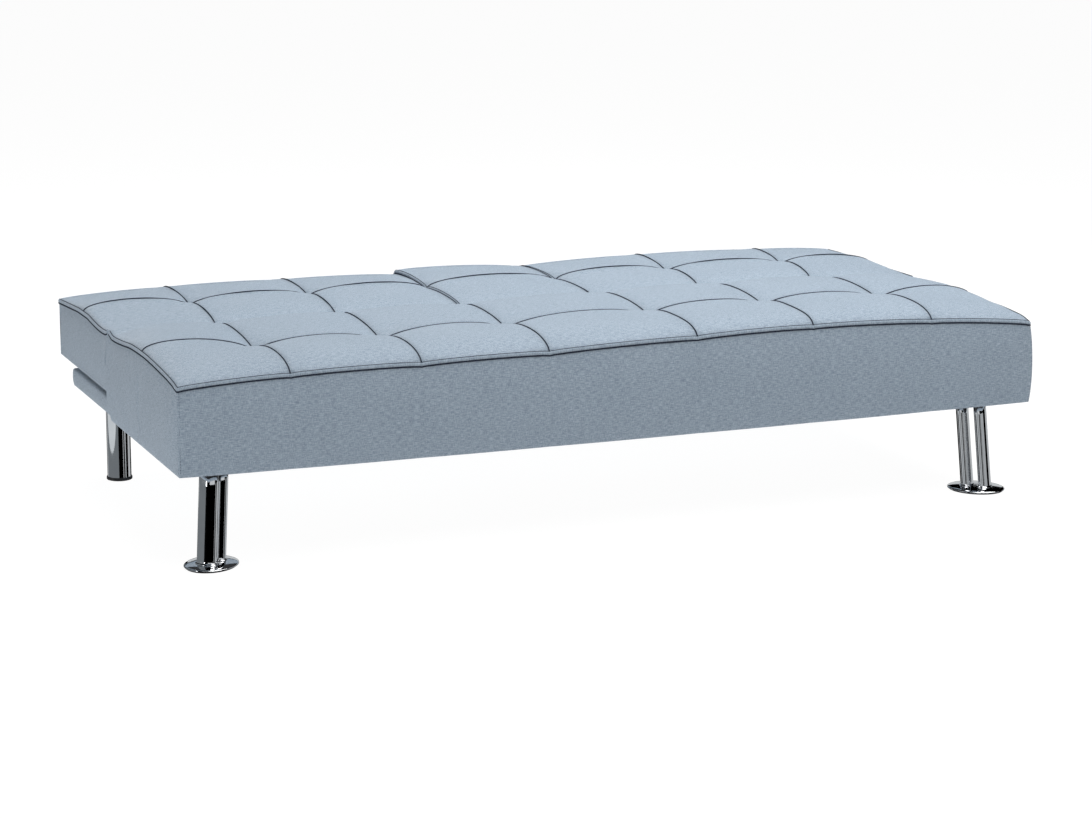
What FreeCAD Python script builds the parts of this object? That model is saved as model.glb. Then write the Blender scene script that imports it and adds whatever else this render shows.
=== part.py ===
"""Click-clack sofa bed, lying flat: seat, split back, fold-down centre console.

Millimetres, +Z up, +X to the right, the front faces -Y. The origin is on the
floor, in the middle of the footprint. Rest is the flat bed.
"""
import FreeCAD, Part

import math
import os

V = FreeCAD.Vector
X_AXIS = V(1, 0, 0)
Y_AXIS = V(0, 1, 0)
Z_AXIS = V(0, 0, 1)

# ---- driving dimensions --------------------------------------------------
LENGTH = 1800.0            # overall, along X
DEPTH = 940.0              # seat and flat back together, along Y
BODY_BOTTOM = 195.0        # underside of the upholstered base
TOP = 390.0                # crown of every cushion
CREASE_Y = 45.0            # where seat and back meet
CREASE_GAP = 14.0          # between seat and back covers
CREASE_ROUND = 20.0        # rolled cushion edge along the crease
EDGE_ROUND = 14.0          # other upper cushion edges
FABRIC = 2.0               # woven cover with its lining
FOAM_CLEAR = 1.0           # foam to cover

CONSOLE_LEFT = -156.0      # centre of the gap left of the console
CONSOLE_RIGHT = 138.0      # centre of the gap right of the console
SPLIT_GAP = 4.0            # between neighbouring back cushions
BACK_BOTTOM = 249.0        # underside of the flat back
CONSOLE_SOFT_BOTTOM = 321.0   # foam and cover above, wooden box below
CONSOLE_BOX_BOTTOM = 269.0

LEDGE_REAR = 396.0
LEDGE_HALF = 889.0
LEDGE_BOARD = 2.0

TUBE = 28.0                # base frame tube, square
TUBE_WALL = 2.0
BACK_TUBE = 25.0           # back frame tube, square
FRAME_BOTTOM = BODY_BOTTOM + 4.0
LEG_TUBE_X = 812.0         # base frame members that carry the legs
LEG_TUBE_WIDTH = 40.0

PLATE = 3.0                # hinge plates
SIDE_PLAY = 1.0            # between a hinge plate and its arm
HUB_R = 8.0                # round ends of plate and arm at the pivot, below the fabric
HINGE_X = (-780.0, -290.0, 290.0, 780.0)
RATCHET_R = 28.0
PAWL_PIVOT_R = 46.0
PAWL_PIVOT_DEG = -105.0
PAWL_TIP_R = 31.2
PAWL_TIP_DEG = -80.0
NOTCH_STEPS_DEG = (28.0, 53.0, 78.0)   # reclined, lounging and upright

CONSOLE_AXIS_BEHIND = 70.0   # console pivot, behind the back pivot
CONSOLE_AXIS_DEPTH = 40.0    # console pivot, below the top face

FRONT_FOOT = (822.0, -395.0)
FRONT_FOOT_LONG = 120.0
FRONT_FOOT_SHORT = 100.0
FRONT_FOOT_THICK = 7.0
FOOT_PAD = 2.0
LEG_OVAL = (40.0, 25.0)
LEG_OVAL_SPACING = 38.0
LEG_LEAN = 18.0              # a front leg's foot stands this far out
LEG_WALL = 1.5
REAR_LEG = (814.0, 334.0)
REAR_LEG_D = 50.0

# ---- places worked out from them -----------------------------------------
HALF = LENGTH / 2
FRONT = -DEPTH / 2
REAR = DEPTH / 2
SEAT_REAR = CREASE_Y - CREASE_GAP / 2
BACK_FRONT = CREASE_Y + CREASE_GAP / 2
AXIS_Z = TOP - CREASE_ROUND
LEFT_BACK = (-HALF, CONSOLE_LEFT - SPLIT_GAP / 2)
RIGHT_BACK = (CONSOLE_RIGHT + SPLIT_GAP / 2, HALF)
CONSOLE = (CONSOLE_LEFT + SPLIT_GAP / 2, CONSOLE_RIGHT - SPLIT_GAP / 2)
FRAME_TOP = FRAME_BOTTOM + TUBE
LEDGE_TOP = FRAME_TOP + LEDGE_BOARD + FABRIC
CONSOLE_AXIS = V(0, CREASE_Y + CONSOLE_AXIS_BEHIND, TOP - CONSOLE_AXIS_DEPTH)
MID_RAIL_REAR = SEAT_REAR - 6.0

OUT = "parts"
os.makedirs(OUT, exist_ok=True)


# ---- helpers -------------------------------------------------------------
def save(name, *solids):
    """Write one named node: a single solid, or a group of separate ones."""
    shape = solids[0] if len(solids) == 1 else Part.makeCompound(list(solids))
    for solid in shape.Solids:
        assert solid.isValid(), name
    assert shape.Solids, name
    shape.exportStep(os.path.join(OUT, name + ".step"))


def block(x0, x1, y0, y1, z0, z1):
    return Part.makeBox(x1 - x0, y1 - y0, z1 - z0, V(x0, y0, z0))


def rod(start, direction, radius, length):
    return Part.makeCylinder(radius, length, start, direction)


def joined(shapes):
    return shapes[0].fuse(shapes[1:]).removeSplitter()


def without(shape, cutters):
    """The shape with every cutter taken away, as one clean solid."""
    left = shape.cut(list(cutters)).removeSplitter()
    return max(left.Solids, key=lambda solid: solid.Volume)


def round_edges(shape, radius, wanted):
    edges = [edge for edge in shape.Edges if wanted(edge.BoundBox)]
    return shape.makeFillet(radius, edges)


def yz_plate(points, x0, thickness):
    """A flat plate across X, from (y, z) corners."""
    loop = [V(x0, y, z) for y, z in points]
    face = Part.Face(Part.makePolygon(loop + loop[:1]))
    return face.extrude(V(thickness, 0, 0))


def polar(radius, degrees):
    """(y, z) at this radius and angle round the back's pivot line."""
    angle = math.radians(degrees)
    return CREASE_Y + radius * math.cos(angle), AXIS_Z + radius * math.sin(angle)


def square_tube(start, end, width, height, wall):
    """A hollow straight tube along X or Y; start and end are centres."""
    run = end - start
    across = Y_AXIS if abs(run.x) > abs(run.y) else X_AXIS

    def bar(w, h):
        corners = [start + across * (w / 2 * a) + Z_AXIS * (h / 2 * b)
                   for a, b in ((-1, -1), (1, -1), (1, 1), (-1, 1))]
        return Part.Face(Part.makePolygon(corners + corners[:1])).extrude(run)

    return bar(width, height), bar(width - 2 * wall, height - 2 * wall)


def tube_frame(members, wall):
    """Welded tubes: all outsides joined, then all insides taken out."""
    pairs = [square_tube(a, b, w, h, wall) for a, b, w, h in members]
    solid = joined([outer for outer, _ in pairs])
    return without(solid, [inner for _, inner in pairs])


def cushion_outline(x0, x1, y0, y1, z0, z1, crease_front, inset=0.0):
    """A cushion block, inset all round but below: rolled along the crease, soft elsewhere."""
    x0, x1, y0, y1, z1 = x0 + inset, x1 - inset, y0 + inset, y1 - inset, z1 - inset
    crease_y = y0 if crease_front else y1
    shape = block(x0, x1, y0, y1, z0, z1)
    shape = round_edges(shape, CREASE_ROUND - inset, lambda b: b.ZMin > z1 - 0.1
                        and abs(b.YMin - crease_y) < 0.1 and b.YLength < 0.1)
    return round_edges(shape, EDGE_ROUND - inset, lambda b: b.ZMin > z1 - 0.1 and (
        b.YLength > 50 or (b.XLength > 50 and abs(b.YMin - crease_y) > 50)))


def cover_shell(x0, x1, y0, y1, z0, crease_front):
    """A sewn cover: top and four sides, open underneath."""
    outer = cushion_outline(x0, x1, y0, y1, z0, TOP, crease_front)
    return outer.cut(cushion_outline(x0, x1, y0, y1, z0 - 5, TOP, crease_front, FABRIC))


def foam_block(x0, x1, y0, y1, z0, crease_front):
    """A foam slab that fills its cover, a little clear of it."""
    return cushion_outline(x0, x1, y0, y1, z0, TOP, crease_front, FABRIC + FOAM_CLEAR)


# ---- base: frame, springs, foam and covers -------------------------------
def tube_line(x0, y0, x1, y1, width=TUBE):
    z = FRAME_BOTTOM + TUBE / 2
    return V(x0, y0, z), V(x1, y1, z), width, TUBE


FRAME_END_INSET = 20.0       # frame tube behind the cover, at the ends
FRAME_FRONT_INSET = 15.0
FRAME_REAR_INSET = 10.0


def base_frame_members():
    side = HALF - FRAME_END_INSET - TUBE / 2
    front = FRONT + FRAME_FRONT_INSET + TUBE / 2
    rear = LEDGE_REAR - FRAME_REAR_INSET - TUBE / 2
    mid = MID_RAIL_REAR - TUBE / 2
    ends = side + TUBE / 2
    return [
        tube_line(-ends, front, ends, front),
        tube_line(-ends, rear, ends, rear),
        tube_line(-ends, mid, ends, mid),
        tube_line(-side, front, -side, rear),
        tube_line(side, front, side, rear),
        tube_line(-LEG_TUBE_X, front, -LEG_TUBE_X, rear, LEG_TUBE_WIDTH),
        tube_line(LEG_TUBE_X, front, LEG_TUBE_X, rear, LEG_TUBE_WIDTH),
        tube_line(0, front, 0, rear),
    ]


SPRING_WIRE = 3.5
SPRING_LOOPS = 9
SPRING_SWING = 26.0
SPRING_ROOM = 8.0            # between the frame's top and the foam
SPRING_XS = [side * x for side in (-1, 1) for x in (70.0, 180.0, 400.0, 510.0, 620.0)]


def zigzag_spring(x, y0, y1):
    """One sinuous spring: straight runs across, half-round turns between."""
    pitch = (y1 - y0) / (SPRING_LOOPS + 1)
    turn = pitch / 2
    z = FRAME_TOP + SPRING_WIRE / 2 + 0.5
    side = 1
    y = y0
    edges = [Part.makeLine(V(x, y, z), V(x + SPRING_SWING, y, z))]
    for _ in range(SPRING_LOOPS + 1):
        sx = x + side * SPRING_SWING
        edges.append(Part.Arc(V(sx, y, z), V(sx + side * turn, y + turn, z),
                              V(sx, y + pitch, z)).toShape())
        y += pitch
        side = -side
        last = abs(y - y1) < 0.1
        edges.append(Part.makeLine(V(sx, y, z), V(x if last else x + side * SPRING_SWING, y, z)))
    path = Part.Wire(edges)
    ring = Part.Wire([Part.makeCircle(SPRING_WIRE / 2, V(x, y0, z), X_AXIS)])
    return path.makePipeShell([ring], True, False)


def make_base():
    frame = tube_frame(base_frame_members(), TUBE_WALL)
    bolts = leg_bolts() + hinge_base_bolts()
    frame = without(frame, bolts)
    save("base_frame", frame)

    rail_front = FRONT + FRAME_FRONT_INSET + TUBE / 2
    rail_mid = MID_RAIL_REAR - TUBE / 2
    springs = [zigzag_spring(x, rail_front, rail_mid) for x in SPRING_XS]
    save("seat_springs", *springs)
    save("spring_clips", *spring_clips(springs, (rail_front, rail_mid)))

    cover = cover_shell(-HALF, HALF, FRONT, SEAT_REAR, BODY_BOTTOM, False)
    pockets = [seat_pocket(x) for x in HINGE_X]
    below_ledge = block(-HALF + FABRIC, HALF - FABRIC, SEAT_REAR - FABRIC - 1, SEAT_REAR + 5,
                        BODY_BOTTOM - 5, LEDGE_TOP)
    save("seat_cover", without(cover, pockets + [below_ledge]))

    foam = foam_block(-HALF, HALF, FRONT, SEAT_REAR, FRAME_TOP + SPRING_ROOM, False)
    save("seat_foam", without(foam, pockets))

    sheet = block(-HALF + 4, HALF - 4, FRONT + 4, SEAT_REAR - 4, FRAME_BOTTOM - 1, FRAME_BOTTOM)
    rear_sheet = block(-LEDGE_HALF + 4, LEDGE_HALF - 4, SEAT_REAR - 8, LEDGE_REAR - 4,
                       FRAME_BOTTOM - 1, FRAME_BOTTOM)
    windows = [grown for _, grown in leg_plate_blocks()]
    save("dust_cover", without(joined([sheet, rear_sheet]), windows + [cover]))

    save("ledge_board", block(-LEDGE_HALF + 8, LEDGE_HALF - 8, SEAT_REAR + 1,
                              LEDGE_REAR - 6, FRAME_TOP, FRAME_TOP + LEDGE_BOARD))
    outer = block(-LEDGE_HALF, LEDGE_HALF, SEAT_REAR, LEDGE_REAR, BODY_BOTTOM, LEDGE_TOP)
    inner = block(-LEDGE_HALF + FABRIC, LEDGE_HALF - FABRIC, SEAT_REAR - 5, LEDGE_REAR - FABRIC,
                  BODY_BOTTOM - 5, FRAME_TOP + LEDGE_BOARD)
    save("ledge_cover", outer.cut(inner))


def spring_clips(springs, rails):
    """A bent clip holds each spring's end down on its rail."""
    clips = []
    for x in SPRING_XS:
        for y in rails:
            clip = block(x + 2, x + 18, y - 8, y + 8, FRAME_TOP, FRAME_TOP + 6)
            clips.append(clip)
    return [without(clip, springs) for clip in clips]


POCKET_HALF = 9.0


def seat_pocket(x):
    """Room for a hinge in the seat's rear edge."""
    return block(x - POCKET_HALF, x + POCKET_HALF, CREASE_Y - 56, SEAT_REAR + 1,
                 FRAME_TOP, AXIS_Z + 14)


# ---- legs ----------------------------------------------------------------
PLATE_SIZE = (96.0, 104.0)
LEG_PLATE = 4.0
BOLT_D = 8.0
BOLT_SPREAD = 43.0


def leg_tops():
    """(name, x, y) where each leg meets the underside."""
    shift = LEG_LEAN / math.sqrt(2)
    tops = []
    for name, side in (("left", -1), ("right", 1)):
        tops.append(("front_" + name, side * (FRONT_FOOT[0] - shift), FRONT_FOOT[1] + shift))
    for name, side in (("left", -1), ("right", 1)):
        tops.append(("rear_" + name, side * REAR_LEG[0], REAR_LEG[1] - 5.0))
    return tops


def leg_plate_blocks():
    """Each leg's top plate, and the window it needs in the dust cover."""
    found = []
    for _, x, y in leg_tops():
        w, d = PLATE_SIZE[0] / 2, PLATE_SIZE[1] / 2
        plate = block(x - w, x + w, y - d, y + d, FRAME_BOTTOM - LEG_PLATE, FRAME_BOTTOM)
        window = block(x - w - 1, x + w + 1, y - d - 1, y + d + 1,
                       FRAME_BOTTOM - LEG_PLATE - 1, FRAME_BOTTOM + 1)
        found.append((plate, window))
    return found


def bolt(x, y, z, direction, shank, head_d=13.0, head_h=5.0):
    """A hexagon-headed bolt; z is the face its head sits on."""
    sign = direction.z
    hexagon = [V(x + head_d / 2 * math.cos(math.radians(60 * i)),
                 y + head_d / 2 * math.sin(math.radians(60 * i)), z) for i in range(6)]
    head = Part.Face(Part.makePolygon(hexagon + hexagon[:1])).extrude(V(0, 0, -sign * head_h))
    return head.fuse(rod(V(x, y, z), direction, BOLT_D / 2, shank)).removeSplitter()


def leg_bolts():
    bolts = []
    for _, x, y in leg_tops():
        carrier_x = math.copysign(LEG_TUBE_X, x)
        for side in (-1, 1):
            bolts.append(bolt(carrier_x, y + side * BOLT_SPREAD,
                              FRAME_BOTTOM - LEG_PLATE, Z_AXIS, 16.0))
    return bolts


def oval_bar(centre, size, direction, lean, height):
    """A leaning oval bar; direction is its short axis in plan."""
    ellipse = Part.Ellipse(V(0, 0, 0), size[0] / 2, size[1] / 2)
    wire = Part.Wire([ellipse.toShape()])
    turn = math.degrees(math.atan2(direction.y, direction.x)) + 90.0
    wire.rotate(V(0, 0, 0), Z_AXIS, turn)
    wire.translate(centre)
    return Part.Face(wire).extrude(lean + V(0, 0, height))


def make_front_leg(name, side, plate):
    outward = V(side, -1, 0) * (1 / math.sqrt(2))
    foot_z = FOOT_PAD + FRONT_FOOT_THICK
    foot = V(side * FRONT_FOOT[0], FRONT_FOOT[1], 0)
    rise = FRAME_BOTTOM - LEG_PLATE - foot_z
    tubes = []
    for offset in (-LEG_OVAL_SPACING / 2, LEG_OVAL_SPACING / 2):
        base = foot + outward * offset + V(0, 0, foot_z)
        outer = oval_bar(base, LEG_OVAL, outward, outward * -LEG_LEAN, rise)
        bore = (LEG_OVAL[0] - 2 * LEG_WALL, LEG_OVAL[1] - 2 * LEG_WALL)
        inner = oval_bar(base, bore, outward, outward * -LEG_LEAN, rise)
        tubes.append(outer.cut(inner))
    save("front_leg_tubes_" + name, *tubes)

    def foot_disc(grow, z0, height):
        size = (FRONT_FOOT_LONG + grow, FRONT_FOOT_SHORT + grow)
        across = V(-outward.y, outward.x, 0)
        return oval_bar(foot + V(0, 0, z0), size, across, V(0, 0, 0), height)

    disc = foot_disc(0, FOOT_PAD, FRONT_FOOT_THICK)
    disc = round_edges(disc, 2.5, lambda b: b.ZMin > foot_z - 0.1)
    save("front_foot_" + name, disc)
    save("front_leg_plate_" + name, without(plate, leg_bolts()))
    return foot_disc(-8, 0, FOOT_PAD)


REAR_CAP_HEIGHT = 7.0
REAR_CAP_BASE = 3.0


def make_rear_leg(name, side, plate):
    x, y = side * REAR_LEG[0], REAR_LEG[1]
    top = FRAME_BOTTOM - LEG_PLATE
    radius = REAR_LEG_D / 2
    tube = rod(V(x, y, REAR_CAP_BASE), Z_AXIS, radius, top - REAR_CAP_BASE)
    bore = rod(V(x, y, REAR_CAP_BASE - 1), Z_AXIS, radius - LEG_WALL, top)
    save("rear_leg_tube_" + name, tube.cut(bore))
    sleeve = rod(V(x, y, 0), Z_AXIS, radius + 2, REAR_CAP_HEIGHT)
    sleeve = round_edges(sleeve, 1.5, lambda b: b.ZMin > REAR_CAP_HEIGHT - 0.1)
    sleeve = sleeve.cut(rod(V(x, y, REAR_CAP_BASE), Z_AXIS, radius, REAR_CAP_HEIGHT))
    save("rear_leg_cap_" + name, sleeve)
    save("rear_leg_plate_" + name, without(plate, leg_bolts()))


def make_legs():
    plates = {name: plate for (name, _, _), (plate, _) in zip(leg_tops(), leg_plate_blocks())}
    pads = []
    for name, side in (("left", -1), ("right", 1)):
        pads.append(make_front_leg(name, side, plates["front_" + name]))
        make_rear_leg(name, side, plates["rear_" + name])
    save("front_foot_pads", *pads)


# ---- click-clack hinges --------------------------------------------------
HINGE_FOOT_LEN = 44.0
ARM_FOOT_Y = (BACK_FRONT + 19.0, BACK_FRONT + 61.0)
BACK_FRAME_BOTTOM = BACK_BOTTOM + 2.0
BACK_FRAME_TOP = BACK_FRAME_BOTTOM + BACK_TUBE
PIN_R = 5.0
PIN_PLAY = 0.08


def plate_x(x):
    """The fixed plate's near face; its arm stands just beyond it."""
    return x - PLATE - SIDE_PLAY / 2


def arm_x(x):
    return x + SIDE_PLAY / 2


def hinge_base_bolts():
    bolts = []
    for x in HINGE_X:
        for shift in (-18.0, -34.0):
            bolts.append(bolt(plate_x(x) + shift, MID_RAIL_REAR - TUBE / 2,
                              FRAME_TOP + PLATE, -Z_AXIS, 14.0, 11.0, 4.0))
    return bolts


def make_hinge_plate(number, x):
    """Fixed plate: a foot on the rail, a stem, and the ratchet round the pivot."""
    x0 = plate_x(x)
    rail_y = MID_RAIL_REAR - TUBE / 2
    stem = yz_plate([(rail_y - 15, FRAME_TOP), (rail_y + 5, FRAME_TOP),
                     (rail_y + 5, AXIS_Z - 40), polar(RATCHET_R - 8, -112),
                     polar(HUB_R, 180), (rail_y - 6, AXIS_Z - 24)], x0, PLATE)
    disc = rod(V(x0, CREASE_Y, AXIS_Z), X_AXIS, RATCHET_R, PLATE)
    keep = yz_plate([(CREASE_Y, AXIS_Z)] + [polar(2 * RATCHET_R, a) for a in (-118, -80, -40, 6)],
                    x0, PLATE)
    sector = disc.common(keep)
    hub = rod(V(x0, CREASE_Y, AXIS_Z), X_AXIS, HUB_R, PLATE)
    foot = block(x0 - HINGE_FOOT_LEN, x0 + PLATE, rail_y - 12, rail_y + 12,
                 FRAME_TOP, FRAME_TOP + PLATE)
    plate = joined([stem, sector, hub, foot])
    notches = []
    for step in NOTCH_STEPS_DEG:
        angle = PAWL_TIP_DEG + step
        notches.append(yz_plate([polar(RATCHET_R + 2, angle - 1), polar(RATCHET_R - 5, angle),
                                 polar(RATCHET_R + 2, angle + 15)], x0 - 1, PLATE + 2))
    bore = rod(V(x0 - 1, CREASE_Y, AXIS_Z), X_AXIS, PIN_R + PIN_PLAY, PLATE + 2)
    save("hinge_plate_%d" % number, without(plate, notches + [bore] + hinge_base_bolts()))


def arm_bolts(x):
    """Two bolts hold an arm's foot on the back frame."""
    y = (ARM_FOOT_Y[0] + BACK_FRONT + 18.0 + BACK_TUBE) / 2
    return [bolt(arm_x(x) + PLATE + shift, y, BACK_FRAME_TOP + PLATE, -Z_AXIS, 12.0, 11.0, 4.0)
            for shift in (16.0, 32.0)]


def make_hinge_arm(number, x):
    """Moving arm: pivot eye, pawl ear, and a foot on the back frame."""
    x0 = arm_x(x)
    ear_y, ear_z = polar(PAWL_PIVOT_R, PAWL_PIVOT_DEG)
    eye = rod(V(x0, CREASE_Y, AXIS_Z), X_AXIS, HUB_R, PLATE)
    ear = rod(V(x0, ear_y, ear_z), X_AXIS, 8.0, PLATE)
    web = yz_plate([polar(HUB_R, 190), (ear_y - 7.5, ear_z - 1), (ear_y + 2, ear_z - 7.5),
                    (ARM_FOOT_Y[0], BACK_FRAME_TOP), (ARM_FOOT_Y[0] + 30, BACK_FRAME_TOP),
                    polar(HUB_R, 20)], x0, PLATE)
    foot = block(x0, x0 + PLATE + 40, ARM_FOOT_Y[0], ARM_FOOT_Y[0] + 23,
                 BACK_FRAME_TOP, BACK_FRAME_TOP + PLATE)
    stud = rod(V(x0 - SIDE_PLAY - PLATE - 1.5, ear_y, ear_z), X_AXIS, 2.5, PLATE + SIDE_PLAY + 2)
    arm = joined([eye, ear, web, foot, stud])
    bore = rod(V(x0 - 1, CREASE_Y, AXIS_Z), X_AXIS, PIN_R, PLATE + 2)
    save("hinge_arm_%d" % number, without(arm, [bore] + arm_bolts(x)))


def hinge_pin(x):
    """A headed rivet, fast in the arm and free in the plate."""
    start = V(plate_x(x) - 1.5, CREASE_Y, AXIS_Z)
    shank = rod(start, X_AXIS, PIN_R, 2 * PLATE + SIDE_PLAY + 3)
    near = rod(start - X_AXIS * 1.5, X_AXIS, PIN_R + 2.5, 1.5)
    far = rod(V(arm_x(x) + PLATE, CREASE_Y, AXIS_Z), X_AXIS, PIN_R + 2.5, 2.0)
    return joined([shank, near, far])


def make_pawl(number, x):
    """Pawl: a flat hook on the arm's stud, in the ratchet's plane."""
    x0 = plate_x(x)
    cy, cz = polar(PAWL_PIVOT_R, PAWL_PIVOT_DEG)
    eye = rod(V(x0, cy, cz), X_AXIS, 6.0, PLATE)
    hook = yz_plate([(cy + 1, cz - 5.8), polar(PAWL_PIVOT_R - 2, PAWL_TIP_DEG + 8),
                     polar(PAWL_TIP_R + 4, PAWL_TIP_DEG + 8), polar(PAWL_TIP_R, PAWL_TIP_DEG),
                     polar(PAWL_TIP_R + 4, PAWL_TIP_DEG - 6), (cy - 1, cz + 5.8)], x0, PLATE)
    bore = rod(V(x0 - 1, cy, cz), X_AXIS, 2.7, PLATE + 2)
    save("hinge_pawl_%d" % number, without(joined([eye, hook]), [bore]))


def pawl_spring(x):
    """A small coil on the arm's outer face that presses the pawl home."""
    cy, cz = polar(PAWL_PIVOT_R, PAWL_PIVOT_DEG)
    x0 = arm_x(x) + PLATE
    coil = rod(V(x0, cy, cz), X_AXIS, 6.0, 3.0).cut(rod(V(x0, cy, cz), X_AXIS, 4.0, 3.0))
    leg = block(x0, x0 + 1.5, cy + 4.5, cy + 26, cz - 5.9, cz - 4.4)
    return coil.fuse(leg).removeSplitter()


def make_hinges():
    for number, x in enumerate(HINGE_X, 1):
        make_hinge_plate(number, x)
        make_hinge_arm(number, x)
        make_pawl(number, x)
    for side, xs in (("left", HINGE_X[:2]), ("right", HINGE_X[2:])):
        save(side + "_hinge_pins", *[hinge_pin(x) for x in xs])
        save(side + "_pawl_springs", *[pawl_spring(x) for x in xs])
        save(side + "_arm_bolts", *[b for x in xs for b in arm_bolts(x)])
    save("base_bolts", *(leg_bolts() + hinge_base_bolts()))


# ---- back sections -------------------------------------------------------
def hinge_pocket(x):
    """Room in a back cushion's front for the hinge's plate and ratchet."""
    return block(x - POCKET_HALF, x + POCKET_HALF, BACK_FRONT - 1, CREASE_Y + 34,
                 BACK_BOTTOM - 1, AXIS_Z + 14)


def foam_pockets(x):
    """Room in the foam for the whole hinge: plate, arm and the arm's foot."""
    near, far = BACK_FRONT + 10, ARM_FOOT_Y[1] + 2
    foot = block(x - POCKET_HALF, x + 50, near, far, BACK_FRAME_BOTTOM - 2, BACK_FRAME_TOP + 12)
    web = block(x - POCKET_HALF, x + POCKET_HALF, near, far, BACK_FRAME_TOP, AXIS_Z + 4)
    return [hinge_pocket(x), foot, web]


def make_back(name, span, hinge_xs):
    x0, x1 = span
    y0, y1 = BACK_FRONT + 18.0, REAR - 14.0
    z = BACK_FRAME_BOTTOM + BACK_TUBE / 2
    half = BACK_TUBE / 2

    def line(xa, ya, xb, yb):
        return V(xa, ya, z), V(xb, yb, z), BACK_TUBE, BACK_TUBE

    a, b = x0 + 14.0, x1 - 14.0
    middle = (x0 + x1) / 2
    members = [line(a, y0 + half, b, y0 + half), line(a, y1 - half, b, y1 - half),
               line(a + half, y0 + half, a + half, y1 - half),
               line(b - half, y0 + half, b - half, y1 - half),
               line(middle, y0 + half, middle, y1 - half)]
    bolts = [screw for x in hinge_xs for screw in arm_bolts(x)]
    if name == "right":
        bolts += rail_screws()
    save(name + "_back_frame", without(tube_frame(members, 1.5), bolts))

    cover = cover_shell(x0, x1, BACK_FRONT, REAR, BACK_BOTTOM, True)
    save(name + "_back_cover", without(cover, [hinge_pocket(x) for x in hinge_xs]))
    foam = foam_block(x0, x1, BACK_FRONT, REAR, BACK_FRAME_TOP, True)
    save(name + "_back_foam", without(foam, [p for x in hinge_xs for p in foam_pockets(x)]))
    panel = block(x0 + FABRIC, x1 - FABRIC, BACK_FRONT + FABRIC + 8, REAR - FABRIC,
                  BACK_BOTTOM, BACK_FRAME_BOTTOM)
    slots = [block(x - 9, x + 9, BACK_FRONT, BACK_FRONT + 17, 0, TOP) for x in hinge_xs]
    if name == "right":
        slots += rail_screws()
    save(name + "_back_panel", without(panel, slots + [cover]))


# ---- fold-down console ---------------------------------------------------
RAIL_THICK = 4.0
RAIL_YS = (165.0, 400.0)
RAIL_REACH = 420.0
BACKBOARD = 12.0
CONSOLE_FRONT = CONSOLE_AXIS.y - 16.0
BOX_INSET = 14.0
BOX_WALL = 12.0
BOX_LID = 6.0
BRACKET_IN = 3.0
BRACKET = 4.0
EAR_IN = 10.0
EAR = 4.0
BRACKET_HALF = 10.0
BRACKET_EYE = 13.0
CONSOLE_PIN_R = 4.0
CUP_R = 40.0
CUP_WALL = 2.0
CUP_DEPTH = 40.0
CUP_YS = (205.0, 365.0)


def rail_screws():
    """Screws that hold the console rails under the right back frame."""
    xs = (RIGHT_BACK[0] + 14 + BACK_TUBE / 2, RAIL_REACH - 40)
    return [rod(V(xs[0], y, BACK_BOTTOM - RAIL_THICK - 2), Z_AXIS, 3.0, 12.0).fuse(
        rod(V(xs[0], y, BACK_BOTTOM - RAIL_THICK - 2), Z_AXIS, 6.0, 2.0)).removeSplitter()
        for y in RAIL_YS]


def make_console_carrier():
    """Rails and a backboard, fixed to the right back, that the console lies on."""
    bottom = BACK_BOTTOM - RAIL_THICK
    rails = [block(CONSOLE[0] + 6, RAIL_REACH, y - 15, y + 15, bottom, BACK_BOTTOM)
             for y in RAIL_YS]
    save("console_rails", *[without(rail, rail_screws()) for rail in rails])
    save("rail_screws", *rail_screws())
    board_top = BACK_BOTTOM + BACKBOARD
    save("console_backboard", block(CONSOLE[0] + 1, CONSOLE[1] + 1, CONSOLE_FRONT,
                                    REAR - 4, BACK_BOTTOM, board_top))
    for name, edge, inward in (("left", CONSOLE[0], 1), ("right", CONSOLE[1], -1)):
        near = edge + inward * BRACKET_IN
        far = near + inward * BRACKET
        x0 = min(near, far)
        stem = block(x0, x0 + BRACKET, CONSOLE_AXIS.y - BRACKET_HALF,
                     CONSOLE_AXIS.y + BRACKET_HALF, board_top, CONSOLE_AXIS.z)
        eye = rod(V(x0, CONSOLE_AXIS.y, CONSOLE_AXIS.z), X_AXIS, BRACKET_EYE, BRACKET)
        flange_x = sorted((near, near + inward * 40))
        flange = block(flange_x[0], flange_x[1], CONSOLE_AXIS.y - BRACKET_HALF,
                       CONSOLE_AXIS.y + 40, board_top, board_top + 3)
        bore = rod(V(x0 - 1, CONSOLE_AXIS.y, CONSOLE_AXIS.z), X_AXIS,
                   CONSOLE_PIN_R + PIN_PLAY, BRACKET + 2)
        save("console_bracket_" + name, without(joined([stem, eye, flange]), [bore]))


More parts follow.
